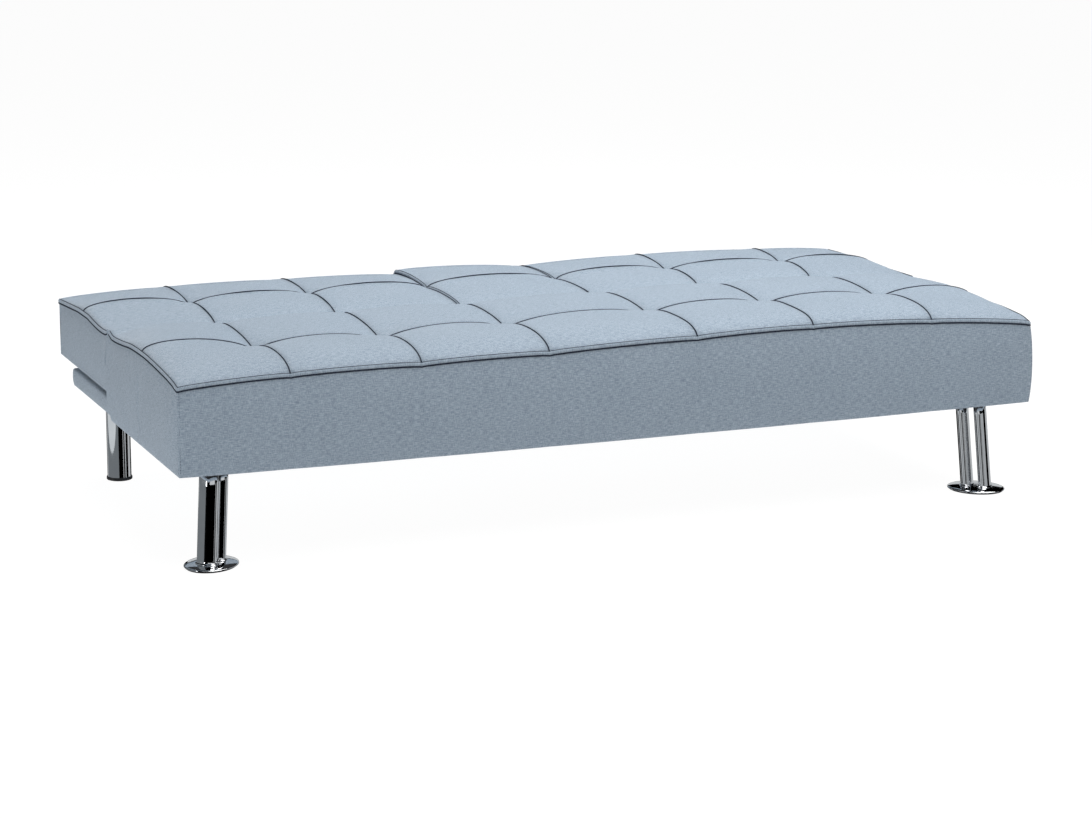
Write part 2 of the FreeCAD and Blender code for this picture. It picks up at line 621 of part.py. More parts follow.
def make_console():
    x0, x1 = CONSOLE
    bx0, bx1 = x0 + BOX_INSET, x1 - BOX_INSET
    y0, y1 = CONSOLE_FRONT, REAR - 4.0
    z0, z1 = CONSOLE_BOX_BOTTOM, CONSOLE_SOFT_BOTTOM
    walls = block(bx0, bx1, y0, y1, z0, z1 - BOX_LID).cut(
        block(bx0 + BOX_WALL, bx1 - BOX_WALL, y0 + BOX_WALL, y1 - BOX_WALL, z0 - 1, z1))
    save("console_box", walls)
    save("console_lid_board", block(bx0, bx1, y0, y1, z1 - BOX_LID, z1))

    ears, pins, pockets = [], [], []
    for edge, inward in ((x0, 1), (x1, -1)):
        near = edge + inward * EAR_IN
        ear_x = min(near, near + inward * EAR)
        plate = yz_plate([(CONSOLE_AXIS.y - 11, CONSOLE_AXIS.z), (CONSOLE_AXIS.y - 11, z0 + 6),
                          (CONSOLE_AXIS.y + 60, z0 + 6), (CONSOLE_AXIS.y + 60, z1 - 15),
                          (CONSOLE_AXIS.y + 15, z1 - 3), (CONSOLE_AXIS.y + 11, CONSOLE_AXIS.z)],
                         ear_x, EAR)
        eye = rod(V(ear_x, CONSOLE_AXIS.y, CONSOLE_AXIS.z), X_AXIS, 11.0, EAR)
        pin_x = sorted((edge + inward * 2, near + inward * EAR))
        pin = rod(V(pin_x[0], CONSOLE_AXIS.y, CONSOLE_AXIS.z), X_AXIS,
                  CONSOLE_PIN_R, pin_x[1] - pin_x[0])
        ears.append(without(joined([plate, eye]), [pin]))
        pins.append(pin)
        pocket_x = sorted((edge - inward, near + inward * (EAR + 1.5)))
        pockets.append(block(pocket_x[0], pocket_x[1], BACK_FRONT - 1,
                                 CONSOLE_AXIS.y + 17, z1 - 1, CONSOLE_AXIS.z + 24))
    save("console_ears", *ears)
    save("console_pins", *pins)

    save("console_cover", without(cover_shell(x0, x1, BACK_FRONT, REAR, z1, True), pockets))
    save("console_foam", without(foam_block(x0, x1, BACK_FRONT, REAR, z1, True), pockets))
    make_tray(bx0 + BOX_WALL, bx1 - BOX_WALL, y0 + BOX_WALL, y1 - BOX_WALL, z0)


def make_tray(x0, x1, y0, y1, z0):
    """A moulded tray with two cup wells, set into the console's underside."""
    mid = (x0 + x1) / 2
    tray = block(x0, x1, y0, y1, z0, z0 + 3)
    cups = [rod(V(mid, y, z0), Z_AXIS, CUP_R + CUP_WALL, CUP_DEPTH + CUP_WALL) for y in CUP_YS]
    wells = [rod(V(mid, y, z0 - 1), Z_AXIS, CUP_R, CUP_DEPTH + 1) for y in CUP_YS]
    save("console_tray", without(joined([tray] + cups), wells))


make_base()
make_legs()
make_hinges()
make_back("left", LEFT_BACK, HINGE_X[:2])
make_back("right", RIGHT_BACK, HINGE_X[2:])
make_console_carrier()
make_console()
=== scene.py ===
import math
import random

import bpy
import numpy as np
from mathutils import Matrix, Vector, noise


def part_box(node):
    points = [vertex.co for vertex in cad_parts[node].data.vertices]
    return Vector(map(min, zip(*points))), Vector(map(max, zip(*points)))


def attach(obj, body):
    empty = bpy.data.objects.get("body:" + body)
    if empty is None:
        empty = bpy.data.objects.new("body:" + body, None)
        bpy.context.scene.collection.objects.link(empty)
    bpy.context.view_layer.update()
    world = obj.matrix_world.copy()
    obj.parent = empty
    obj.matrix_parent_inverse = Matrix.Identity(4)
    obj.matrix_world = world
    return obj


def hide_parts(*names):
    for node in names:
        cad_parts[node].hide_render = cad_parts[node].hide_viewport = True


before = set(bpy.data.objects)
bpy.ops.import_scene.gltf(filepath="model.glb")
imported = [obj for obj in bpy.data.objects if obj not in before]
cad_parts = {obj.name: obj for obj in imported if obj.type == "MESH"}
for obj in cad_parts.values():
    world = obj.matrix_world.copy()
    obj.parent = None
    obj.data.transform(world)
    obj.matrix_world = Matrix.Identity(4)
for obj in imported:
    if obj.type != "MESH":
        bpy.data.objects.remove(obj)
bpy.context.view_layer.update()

# Looks for the click-clack sofa bed. Sizes are in millimetres until a mesh is
# made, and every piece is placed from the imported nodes' boxes.
MM = 0.001
scene = bpy.context.scene
scene.view_settings.view_transform = "Standard"


def box_mm(node):
    """A node's lowest and highest corners, in millimetres."""
    lo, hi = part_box(node)
    return np.array(lo) / MM, np.array(hi) / MM


def mix(a, b, t):
    return a + (b - a) * t


def smooth_step(t):
    t = min(1.0, max(0.0, t))
    return t * t * (3 - 2 * t)


# ---- materials -----------------------------------------------------------
class Nodes:
    """A node material written as nested calls."""

    def __init__(self, name):
        self.mat = bpy.data.materials.new(name)
        self.mat.use_nodes = True
        self.tree = self.mat.node_tree
        self.shader = self.tree.nodes["Principled BSDF"]

    def node(self, kind, inputs=None, **settings):
        made = self.tree.nodes.new(kind)
        for key, value in settings.items():
            setattr(made, key, value)
        for key, value in (inputs or {}).items():
            self.feed(made.inputs[key], value)
        return made

    def feed(self, socket, value):
        if isinstance(value, bpy.types.NodeSocket):
            self.tree.links.new(value, socket)
        else:
            socket.default_value = value

    def math(self, operation, a, b=0.0, c=0.0):
        return self.node("ShaderNodeMath", {0: a, 1: b, 2: c}, operation=operation).outputs[0]

    def noise(self, vector, scale, detail=2.0, rough=0.5):
        return self.node("ShaderNodeTexNoise", {"Vector": vector, "Scale": scale,
                         "Detail": detail, "Roughness": rough}).outputs["Fac"]

    def stretched(self, vector, scale):
        return self.node("ShaderNodeMapping", {"Vector": vector, "Scale": scale}).outputs[0]

    def ramp(self, value, stops):
        made = self.node("ShaderNodeValToRGB", {"Fac": value})
        elements = made.color_ramp.elements
        while len(elements) < len(stops):
            elements.new(0.5)
        for element, (place, colour) in zip(elements, stops):
            element.position = place
            element.color = (*colour, 1.0)
        return made.outputs["Color"]

    def span(self, value, low, high, out_low, out_high):
        return self.node("ShaderNodeMapRange", {"Value": value, "From Min": low, "From Max": high,
                         "To Min": out_low, "To Max": out_high}).outputs["Result"]

    def tint(self, colour, factor):
        """Colour times a grey factor."""
        return self.node("ShaderNodeVectorMath", {0: colour, 1: factor},
                         operation="MULTIPLY").outputs["Vector"]

    def bump(self, height, distance, strength=1.0, normal=None):
        inputs = {"Height": height, "Distance": distance, "Strength": strength}
        if normal is not None:
            inputs["Normal"] = normal
        return self.node("ShaderNodeBump", inputs).outputs["Normal"]

    def finish(self, **sockets):
        for key, value in sockets.items():
            self.feed(self.shader.inputs[key.replace("_", " ")], value)
        return self.mat


THREAD = 0.0011        # metres between threads of the woven cover
FABRIC_DARK = (0.190, 0.245, 0.308)
FABRIC_LIGHT = (0.392, 0.464, 0.541)


def woven_material():
    """Plain-weave melange: two sets of threads, slubs, sheen, and painted shade that darkens the
    cloth towards the seams.
    """
    m = Nodes("woven_fabric")
    uv = m.node("ShaderNodeUVMap", uv_map="weave").outputs["UV"]
    split = m.node("ShaderNodeSeparateXYZ", {0: uv})
    turn = 2 * math.pi / THREAD
    wobble = m.span(m.noise(uv, 190.0), 0.0, 1.0, -0.7, 0.7)
    warp = m.math("SINE", m.math("MULTIPLY_ADD", split.outputs["X"], turn, wobble))
    weft = m.math("SINE", m.math("MULTIPLY_ADD", split.outputs["Y"], turn, wobble))
    weave = m.math("MULTIPLY", warp, weft)
    slub_weft = m.noise(m.stretched(uv, (85.0, 720.0, 1.0)), 1.0, 2.0, 0.6)
    slub_warp = m.noise(m.stretched(uv, (720.0, 110.0, 1.0)), 1.0, 2.0, 0.6)
    cloud = m.noise(uv, 9.0, 3.0, 0.6)
    fleck = m.noise(uv, 560.0, 2.0, 0.7)
    tone = m.math("MULTIPLY_ADD", slub_weft, 0.46, m.math("MULTIPLY", slub_warp, 0.32))
    tone = m.math("MULTIPLY_ADD", fleck, 0.19, tone)
    tone = m.math("MULTIPLY_ADD", cloud, 0.04, tone)
    tone = m.math("MULTIPLY_ADD", weave, 0.05, tone)
    colour = m.ramp(tone, [(0.41, FABRIC_DARK), (0.61, FABRIC_LIGHT)])
    seam = m.node("ShaderNodeAttribute", attribute_name="seam").outputs["Fac"]
    # painted shade: the cover is darkened to 0.72 of its colour on the seams, standing in for the
    # shadow in the seam grooves
    colour = m.tint(colour, m.span(seam, 0.0, 1.0, 1.0, 0.72))
    fine = m.bump(m.math("MULTIPLY_ADD", slub_weft, 0.8, weave), 0.00012, 0.8)
    pucker = m.noise(uv, 130.0, 2.0, 0.5)
    puckered = m.math("MULTIPLY", pucker, m.span(seam, 0.0, 1.0, 0.12, 1.0))
    normal = m.bump(puckered, 0.0011, 0.9, fine)
    m.feed(m.shader.inputs["Sheen Weight"], 0.25)
    m.feed(m.shader.inputs["Sheen Roughness"], 0.45)
    m.feed(m.shader.inputs["Specular IOR Level"], 0.18)
    rough = m.span(slub_warp, 0.3, 0.7, 0.82, 0.95)
    return m.finish(Base_Color=colour, Roughness=rough, Normal=normal)


def thread_material(name, dark, light, scale):
    """Twisted sewing thread. Made near black, it is also painted shadow: the shaded fold a seam
    pulls down.
    """
    m = Nodes(name)
    place = m.node("ShaderNodeTexCoord").outputs["Object"]
    ply = m.noise(place, scale, 2.0, 0.6)
    colour = m.ramp(ply, [(0.35, dark), (0.65, light)])
    m.feed(m.shader.inputs["Specular IOR Level"], 0.2)
    return m.finish(Base_Color=colour, Roughness=m.span(ply, 0.3, 0.7, 0.6, 0.85),
                    Normal=m.bump(ply, 0.0003))


def chrome_material():
    """Plated tube: near mirror, with faint polishing haze."""
    m = Nodes("polished_chrome")
    place = m.node("ShaderNodeTexCoord").outputs["Object"]
    haze = m.noise(m.stretched(place, (30.0, 30.0, 4.0)), 1.0, 3.0, 0.6)
    smear = m.noise(place, 22.0, 4.0, 0.6)
    colour = m.ramp(smear, [(0.3, (0.80, 0.81, 0.83)), (0.7, (0.88, 0.89, 0.90))])
    m.feed(m.shader.inputs["Metallic"], 1.0)
    return m.finish(Base_Color=colour, Roughness=m.span(haze, 0.3, 0.7, 0.035, 0.085),
                    Normal=m.bump(haze, 0.0002, 0.12))


def hard_material(name, dark, light, rough, scale, bump, metallic=0.0, grain=(1.0, 1.0, 1.0)):
    """Plastic, paint or zinc: a little mottled, with a fine surface of its own."""
    m = Nodes(name)
    place = m.stretched(m.node("ShaderNodeTexCoord").outputs["Object"], grain)
    mottle = m.noise(place, scale * 0.06, 3.0, 0.6)
    pits = m.noise(place, scale, 2.0, 0.6)
    colour = m.ramp(mottle, [(0.3, dark), (0.7, light)])
    m.feed(m.shader.inputs["Metallic"], metallic)
    return m.finish(Base_Color=colour, Roughness=m.span(mottle, 0.3, 0.7, rough[0], rough[1]),
                    Normal=m.bump(pits, bump, 0.6))


def wood_material():
    """Plywood: long grain with pores, cut across at the edges."""
    m = Nodes("plywood_face")
    place = m.node("ShaderNodeTexCoord").outputs["Object"]
    grain = m.noise(m.stretched(place, (6.0, 90.0, 60.0)), 1.0, 5.0, 0.65)
    ply = m.noise(m.stretched(place, (1.0, 1.0, 420.0)), 1.0, 1.0, 0.5)
    tone = m.math("MULTIPLY_ADD", ply, 0.3, m.math("MULTIPLY", grain, 0.7))
    colour = m.ramp(tone, [(0.3, (0.36, 0.24, 0.13)), (0.7, (0.66, 0.50, 0.32))])
    return m.finish(Base_Color=colour, Roughness=m.span(grain, 0.3, 0.7, 0.55, 0.8),
                    Normal=m.bump(grain, 0.0004, 0.5))


def nonwoven_material():
    """Spun-bonded black lining with its rows of little spot welds."""
    m = Nodes("nonwoven_lining")
    place = m.node("ShaderNodeTexCoord").outputs["Object"]
    fibres = m.noise(place, 900.0, 4.0, 0.7)
    spots = m.node("ShaderNodeTexVoronoi", {"Vector": place, "Scale": 420.0}).outputs["Distance"]
    weld = m.span(spots, 0.0, 0.35, 0.0, 1.0)
    tone = m.math("MULTIPLY", fibres, m.span(weld, 0.0, 1.0, 0.7, 1.0))
    colour = m.ramp(tone, [(0.25, (0.012, 0.012, 0.014)), (0.7, (0.045, 0.046, 0.05))])
    return m.finish(Base_Color=colour, Roughness=m.span(fibres, 0.3, 0.7, 0.75, 0.95),
                    Normal=m.bump(tone, 0.0003, 0.7))


WOVEN = woven_material()
# painted shadow: these near-black tubes stand for the shaded groove along each seam and the shadow
# under the hem's lip, as well as the thread
SEAM_THREAD_AND_SHADOW = thread_material("seam_thread_and_shadow", (0.010, 0.014, 0.026), (0.026, 0.034, 0.054), 900.0)
STITCH = thread_material("stitch_thread", (0.075, 0.10, 0.14), (0.13, 0.165, 0.215), 1500.0)
CHROME = chrome_material()
LINING = nonwoven_material()
SLOT_MATERIALS = {
    "woven_cover": WOVEN,
    "foam": hard_material("foam_cells", (0.62, 0.55, 0.36), (0.80, 0.74, 0.55), (0.85, 0.95),
                          700.0, 0.0008),
    "black_lining": LINING,
    "plywood": wood_material(),
    "chrome": CHROME,
    "felt_pad": hard_material("black_felt", (0.015, 0.015, 0.016), (0.05, 0.05, 0.052),
                              (0.9, 0.98), 1400.0, 0.0006),
    "black_plastic": hard_material("moulded_black", (0.012, 0.012, 0.013), (0.024, 0.024, 0.026),
                                   (0.38, 0.52), 1100.0, 0.00012),
    "tray_plastic": hard_material("tray_black", (0.016, 0.016, 0.018), (0.03, 0.03, 0.033),
                                  (0.32, 0.46), 1300.0, 0.0002),
    "painted_steel": hard_material("black_paint", (0.014, 0.014, 0.016), (0.035, 0.035, 0.038),
                                   (0.35, 0.5), 500.0, 0.00015),
    "white_plastic": hard_material("white_clip", (0.62, 0.62, 0.60), (0.78, 0.78, 0.76),
                                   (0.35, 0.5), 900.0, 0.0001),
    "zinc_steel": hard_material("zinc_plate", (0.42, 0.43, 0.44), (0.68, 0.69, 0.70),
                                (0.28, 0.45), 260.0, 0.0001, 1.0, (1.0, 1.0, 0.2)),
}


# ---- mesh helpers --------------------------------------------------------
class Shape:
    """Vertices in millimetres, faces, and a texture place for each face corner."""

    def __init__(self):
        self.points, self.faces, self.places = [], [], []

    def add(self, point):
        self.points.append(np.array(point, float))
        return len(self.points) - 1

    def face(self, corners, places=None):
        self.faces.append(tuple(corners))
        if places is None:
            places = [(self.points[i][0], self.points[i][1]) for i in corners]
        self.places.append(places)

    def loft(self, rings, closed=True, caps=True):
        """Skin a row of equal rings. Texture runs along and round it."""
        base = [[self.add(point) for point in ring] for ring in rings]
        count = len(rings[0])
        round_at = [0.0]
        for a, b in zip(rings[0], list(rings[0][1:]) + [rings[0][0]]):
            round_at.append(round_at[-1] + float(np.linalg.norm(np.subtract(b, a))))
        along = 0.0
        for k in range(len(rings) - 1):
            step = float(np.linalg.norm(np.subtract(rings[k + 1][0], rings[k][0])))
            for i in range(count if closed else count - 1):
                j = (i + 1) % count
                self.face((base[k][i], base[k][j], base[k + 1][j], base[k + 1][i]),
                          [(round_at[i], along), (round_at[i + 1], along),
                           (round_at[i + 1], along + step), (round_at[i], along + step)])
            along += step
        if caps:
            self.face(base[0][::-1])
            self.face(base[-1])

    def make(self, name, material, creases=(), shade=None, levels=0):
        mesh = bpy.data.meshes.new(name)
        mesh.from_pydata([tuple(p * MM) for p in self.points], [], self.faces)
        layer = mesh.uv_layers.new(name="weave")
        flat = [value * MM for corner in self.places for place in corner for value in place]
        layer.data.foreach_set("uv", flat)
        mesh.polygons.foreach_set("use_smooth", [True] * len(mesh.polygons))
        mesh.materials.append(material)
        if shade is not None:
            data = mesh.attributes.new("seam", "FLOAT", "POINT").data
            data.foreach_set("value", np.array(shade, np.float32))
        if creases:
            wanted = {frozenset(edge) for edge in creases}
            sharp = [1.0 if frozenset(e.vertices) in wanted else 0.0 for e in mesh.edges]
            mesh.attributes.new("crease_edge", "FLOAT", "EDGE").data.foreach_set("value", sharp)
        mesh.validate()
        mesh.update()
        outward(mesh)
        made = bpy.data.objects.new(name, mesh)
        scene.collection.objects.link(made)
        if levels:
            modifier = made.modifiers.new("subdivision", "SUBSURF")
            modifier.levels = modifier.render_levels = levels
            modifier.boundary_smooth = "PRESERVE_CORNERS"
        return made


def outward(mesh):
    """Turn every closed part's faces outward."""
    import bmesh
    work = bmesh.new()
    work.from_mesh(mesh)
    bmesh.ops.recalc_face_normals(work, faces=work.faces)
    work.to_mesh(mesh)
    work.free()


def unit(vector):
    length = float(np.linalg.norm(vector))
    return vector / length if length > 1e-9 else vector


def tangents(path):
    path = np.array(path)
    ahead = np.vstack([path[1:], path[-1:]])
    behind = np.vstack([path[:1], path[:-1]])
    return [unit(step) for step in ahead - behind]


def sweep(shape, path, outs, profile, side=1.0):
    """Carry a closed (out, up) profile along a path. outs are outward directions."""
    rings = []
    for point, along, out in zip(path, tangents(path), outs):
        out = unit(out - along * float(np.dot(out, along)))
        up = np.cross(out, along) * side
        rings.append([point + out * a + up * b for a, b in profile])
    shape.loft(rings)


def ring_profile(radius, sides, centre=(0.0, 0.0)):
    step = 2 * math.pi / sides
    return [(centre[0] + radius * math.cos(step * k), centre[1] + radius * math.sin(step * k))
            for k in range(sides)]


def refined(points):
    """One subdivision step of a creased line whose ends stay put."""
    points = [np.array(p) for p in points]
    out = [points[0]]
    for k in range(len(points) - 1):
        out.append((points[k] + points[k + 1]) / 2)
        if k + 2 < len(points):
            out.append((points[k] + 6 * points[k + 1] + points[k + 2]) / 8)
    out.append(points[-1])
    return out


def ride(made, body, slot, *replaced):
    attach(made, body)
    if replaced:
        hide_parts(*replaced)
    return made


# ---- cloth ---------------------------------------------------------------
SIM_FRAMES = 20


def inflated(points, faces, pinned, pressure, slack, cap):
    """The open sewn skin, blown up by its foam and held at every seam."""
    mesh = bpy.data.meshes.new("skin")
    mesh.from_pydata([tuple(p * MM) for p in points], [], faces)
    skin = bpy.data.objects.new("skin", mesh)
    scene.collection.objects.link(skin)
    group = skin.vertex_groups.new(name="sewn")
    group.add(sorted(pinned), 1.0, "REPLACE")
    cloth = skin.modifiers.new("cloth", "CLOTH")
    cloth.point_cache.frame_start, cloth.point_cache.frame_end = 1, SIM_FRAMES
    settings = cloth.settings
    settings.quality = 6
    settings.mass = 0.25
    settings.tension_stiffness = settings.compression_stiffness = 22.0
    settings.shear_stiffness = 9.0
    settings.bending_stiffness = 0.6
    settings.use_pressure = True
    settings.uniform_pressure_force = pressure
    settings.shrink_min = -slack
    settings.vertex_group_mass = "sewn"
    settings.effector_weights.gravity = 0.0
    cloth.collision_settings.use_collision = False
    cloth.collision_settings.use_self_collision = False
    for number in range(1, SIM_FRAMES + 1):
        scene.frame_set(number)
    found = skin.evaluated_get(bpy.context.evaluated_depsgraph_get()).data
    moved = np.empty(len(points) * 3, np.float32)
    found.vertices.foreach_get("co", moved)
    moved = moved.reshape(-1, 3).astype(float) / MM
    scene.frame_set(1)
    bpy.data.objects.remove(skin)
    bpy.data.meshes.remove(mesh)
    start = np.array(points)
    shift = moved - start
    far = np.linalg.norm(shift, axis=1)
    shift *= (np.tanh(far / cap) * cap / np.maximum(far, 1e-6))[:, None]
    shift[sorted(pinned)] = 0.0
    return list(start + shift)


# ---- quilted cushions ----------------------------------------------------
PUFF = 0.55            # how square a crown's cross-section is
BLEND = 3.2            # how sharply a cell's two arches take over from each other
CELL_STEPS = 18
ROW_STEPS = 17
ROLL_STEPS = 4
SIDE_STEPS = 14


def crown(r):
    return max(0.0, 1 - (2 * r - 1) ** 2) ** PUFF


def steps(count):
    """0 to 1, closer together at both ends."""
    return [mix(k / count, (1 - math.cos(math.pi * k / count)) / 2, 0.75)
            for k in range(count + 1)]


def below_ceiling(z):
    """Ease the highest crowns under the tallest the cushions may stand."""
    over = z - CEILING_START
    return z if over <= 0 else CEILING_START + CEILING_ROOM * math.tanh(over / CEILING_ROOM)


class Cushion:
    """A boxed cushion with a quilted top: hem on three sides, rolled at the crease.

    lines: the x of each column line at the hem and at the crease.
    rows: y at the hem, at the middle seam and at the crease.
    heights: z of the line crossings on those three rows.
    """

    def __init__(self, name, lines, rows, heights, bottom, **how):
        self.name, self.lines, self.rows, self.heights = name, lines, rows, heights
        self.bottom = bottom
        self.cap = how["cap"]              # height of the hidden closing face
        self.turn_in = how.get("turn_in", 30.0)
        self.row_arch = how.get("row_arch", (4.0, 25.0, 7.0))
        self.end_arch = how.get("end_arch", (5.0, 5.0))
        self.ends = how.get("ends", (None, None))   # (y, z) along the left and right ends
        self.column_arch = how.get("column_arch", (14.0, 14.0))   # hem row, crease row
        self.pillow = how.get("pillow", 2.0)
        self.bulge = how["bulge"]          # hem side, right, crease side, left
        self.right_corner = how.get("right_corner", (0.0, 0.0))   # its swell and its lean
        self.roll = how.get("roll", 7.5)
        self.sag = how.get("sag", 0.0)
        self.pull = how.get("pull", 2.5)
        self.folds = how.get("folds", (0.0, 0.0))   # at the left and right crease corners
        self.seed = how["seed"]
        self.toward = 1.0 if rows[2] > rows[0] else -1.0
        self.shape = Shape()
        self.creases, self.pinned = set(), set()
        self.build()

    # -- the top ----------------------------------------------------------
    def line_x(self, i, y):
        hem, crease = self.lines[i]
        return mix(hem, crease, (y - self.rows[0]) / (self.rows[2] - self.rows[0]))

    def line_height(self, i, j, t, y):
        """(height, arch) of column line i, t of the way along row j."""
        flat = mix(self.heights[j][i], self.heights[j + 1][i], t)
        last = len(self.lines) - 1
        if i not in (0, last):
            return flat, self.column_arch[j]
        side = 0 if i == 0 else 1
        if self.ends[side] is None:
            return flat, self.end_arch[side]
        return float(np.interp(y, *zip(*self.ends[side]))), 0.0

    def height(self, c, j, s, t, y):
        left, left_arch = self.line_height(c, j, t, y)
        right, right_arch = self.line_height(c + 1, j, t, y)
        across = mix(self.row_arch[j], self.row_arch[j + 1], t) * crown(s)
        along = mix(left_arch, right_arch, s) * crown(t)
        both = (across ** BLEND + along ** BLEND) ** (1 / BLEND)
        puff = (self.pillow + self.vary[j][c]) * crown(s) * crown(t)
        return mix(left, right, s) + both + puff

    def build(self):
        draw = random.Random(self.seed)
        cells = len(self.lines) - 1
        self.vary = [[draw.uniform(-0.8, 0.8) for _ in range(cells)] for _ in range(2)]
        columns = [(c, s) for c in range(cells) for s in steps(CELL_STEPS)[:-1]]
        columns.append((cells - 1, 1.0))
        crease_y = self.rows[2] - self.toward * self.roll
        bounds = (self.rows[0], self.rows[1], crease_y)
        rows = [(j, t) for j in range(2) for t in steps(ROW_STEPS)[:-1]] + [(1, 1.0)]
        self.line_columns = [c * CELL_STEPS for c in range(cells + 1)]
        self.seam_row = ROW_STEPS
        grid, run = [], []
        for j, t in rows:
            y = mix(bounds[j], bounds[j + 1], t)
            ring = []
            for c, s in columns:
                x = mix(self.line_x(c, y), self.line_x(c + 1, y), s)
                z = self.height(c, j, s, t, y)
                shift = self.pulled(y, s)
                ring.append(self.shape.add((x, y + shift, z)))
            grid.append(ring)
            run.append(y)
        top_row = [self.shape.points[i].copy() for i in grid[-1]]
        for k in range(1, ROLL_STEPS + 1):
            angle = math.pi / 2 * k / ROLL_STEPS
            ring = []
            for point in top_row:
                out = self.roll * math.sin(angle) * self.toward
                ring.append(self.shape.add(point + (0, out, -self.roll * (1 - math.cos(angle)))))
            grid.append(ring)
            run.append(run[-1] + self.toward * self.roll * math.pi / 2 / ROLL_STEPS)
        self.grid = grid
        self.skin_faces(grid, run)
        self.make_sides()
        self.close_below()

    def pulled(self, y, s):
        """The hem line draws in at each seam and a little in the middle."""
        near = 1 - smooth_step(abs(y - self.rows[0]) / 70.0)
        return self.toward * self.pull * near * (1 - crown(s) * 0.8)

    def skin_faces(self, grid, run):
        shape = self.shape
        for v in range(len(grid) - 1):
            for u in range(len(grid[0]) - 1):
                corners = (grid[v][u], grid[v][u + 1], grid[v + 1][u + 1], grid[v + 1][u])
                places = [(shape.points[i][0], run[v + dv])
                          for i, dv in zip(corners, (0, 0, 1, 1))]
                shape.face(corners, places)
        for u in self.line_columns[1:-1]:
            self.sew([ring[u] for ring in grid])
        self.sew(grid[self.seam_row])

    def sew(self, indices):
        for a, b in zip(indices, indices[1:]):
            self.creases.add((a, b))
        self.pinned.update(indices)

    # -- the sides --------------------------------------------------------
    def perimeter(self):
        """(vertex, side, distance to the nearer corner) once round the top."""
        grid = self.grid
        rows, columns = len(grid) - 1, len(grid[0]) - 1
        loop = [(grid[0][u], 0) for u in range(columns)]
        loop += [(grid[v][columns], 1) for v in range(rows)]
        loop += [(grid[rows][u], 2) for u in range(columns, 0, -1)]
        loop += [(grid[v][0], 3) for v in range(rows, 0, -1)]
        return loop

    def make_sides(self):
        shape, grid = self.shape, self.grid
        loop = self.perimeter()
        outs = {0: np.array((0, -self.toward, 0)), 1: np.array((1.0, 0, 0)),
                2: np.array((0, self.toward, 0)), 3: np.array((-1.0, 0, 0))}
        corners = {grid[0][0], grid[0][-1], grid[-1][-1], grid[-1][0]}
        crease_corners = {grid[-1][-1], grid[-1][0]}
        x0, x1 = min(line[0] for line in self.lines), max(line[0] for line in self.lines)
        middle, half = (x0 + x1) / 2, (x1 - x0) / 2
        rings = [[index for index, _ in loop]]
        travel = [0.0]
        for a, b in zip(rings[0], rings[0][1:] + rings[0][:1]):
            flat = shape.points[b] - shape.points[a]
            travel.append(travel[-1] + float(np.linalg.norm(flat)))
        for k in range(1, SIDE_STEPS + 1):
            q = k / SIDE_STEPS
            full = max(0.0, 1 - (2 * q - 1) ** 2) ** 0.8
            corner = outs[1] * (self.right_corner[0] * full + self.right_corner[1] * q)
            ring = []
            for index, side in loop:
                top = shape.points[index]
                low = self.bottom - self.sag * (1 - ((top[0] - middle) / half) ** 2)
                z = mix(top[2], low, q)
                if index in corners:
                    shift = np.zeros(3)
                    if index in crease_corners:
                        shift = outs[2] * self.bulge[2] * 0.8 * full
                    if top[0] > middle:
                        shift = shift + corner
                else:
                    near = self.taper(top, side)
                    shift = outs[side] * self.bulge[side] * full * near
                    shift = shift + outs[side] * self.fold(top, side, q)
                    if side == 0 and top[0] > middle:
                        shift = shift + corner * (1 - near)
                    if side == 1:
                        shift = shift + corner * (1 - near)
                        shift = shift + outs[1] * self.right_corner[1] * q * near
                ring.append(shape.add((top[0] + shift[0], top[1] + shift[1], z)))
            rings.append(ring)
        count = len(loop)
        for k in range(SIDE_STEPS):
            for i in range(count):
                j = (i + 1) % count
                quad = (rings[k][j], rings[k][i], rings[k + 1][i], rings[k + 1][j])
                along = (travel[i + 1], travel[i], travel[i], travel[i + 1])
                places = [(u, shape.points[p][2]) for u, p in zip(along, quad)]
                shape.face(quad, places)
        self.side_rings = rings
        self.corner_lines = []
        for i, (index, _) in enumerate(loop):
            if index in corners:
                line = [ring[i] for ring in rings]
                self.sew(line)
                self.corner_lines.append((index, line))
        self.sew(rings[-1] + rings[-1][:1])
        columns = len(grid[0]) - 1
        flat = len(grid) - 1 - ROLL_STEPS
        self.hem = [grid[v][0] for v in range(flat, 0, -1)] + list(grid[0])
        self.hem += [grid[v][columns] for v in range(1, flat + 1)]
        self.sew(self.hem)

    def taper(self, top, side):
        """Less bulge towards the upright corner seams."""
        if side in (0, 2):
            ends = [self.line_x(0, top[1]), self.line_x(len(self.lines) - 1, top[1])]
            near = min(abs(top[0] - ends[0]), abs(top[0] - ends[1]))
            return math.sin(math.pi / 2 * min(1.0, near / 80.0)) if side == 0 else 1.0
        near = abs(top[1] - self.rows[0])
        return math.sin(math.pi / 2 * min(1.0, near / 80.0))

    def fold(self, top, side, q):
        """Upright folds in an end's cloth beside the crease."""
        if side not in (1, 3):
            return 0.0
        depth = self.folds[0] if side == 3 else self.folds[1]
        near = abs(top[1] - self.rows[2])
        wave = math.cos(near / 13.0 + 1.4 * math.sin(q * 3.0 + self.seed))
        return depth * math.exp(-near / 38.0) * wave * math.sin(math.pi * min(1.0, q * 1.1)) ** 0.7

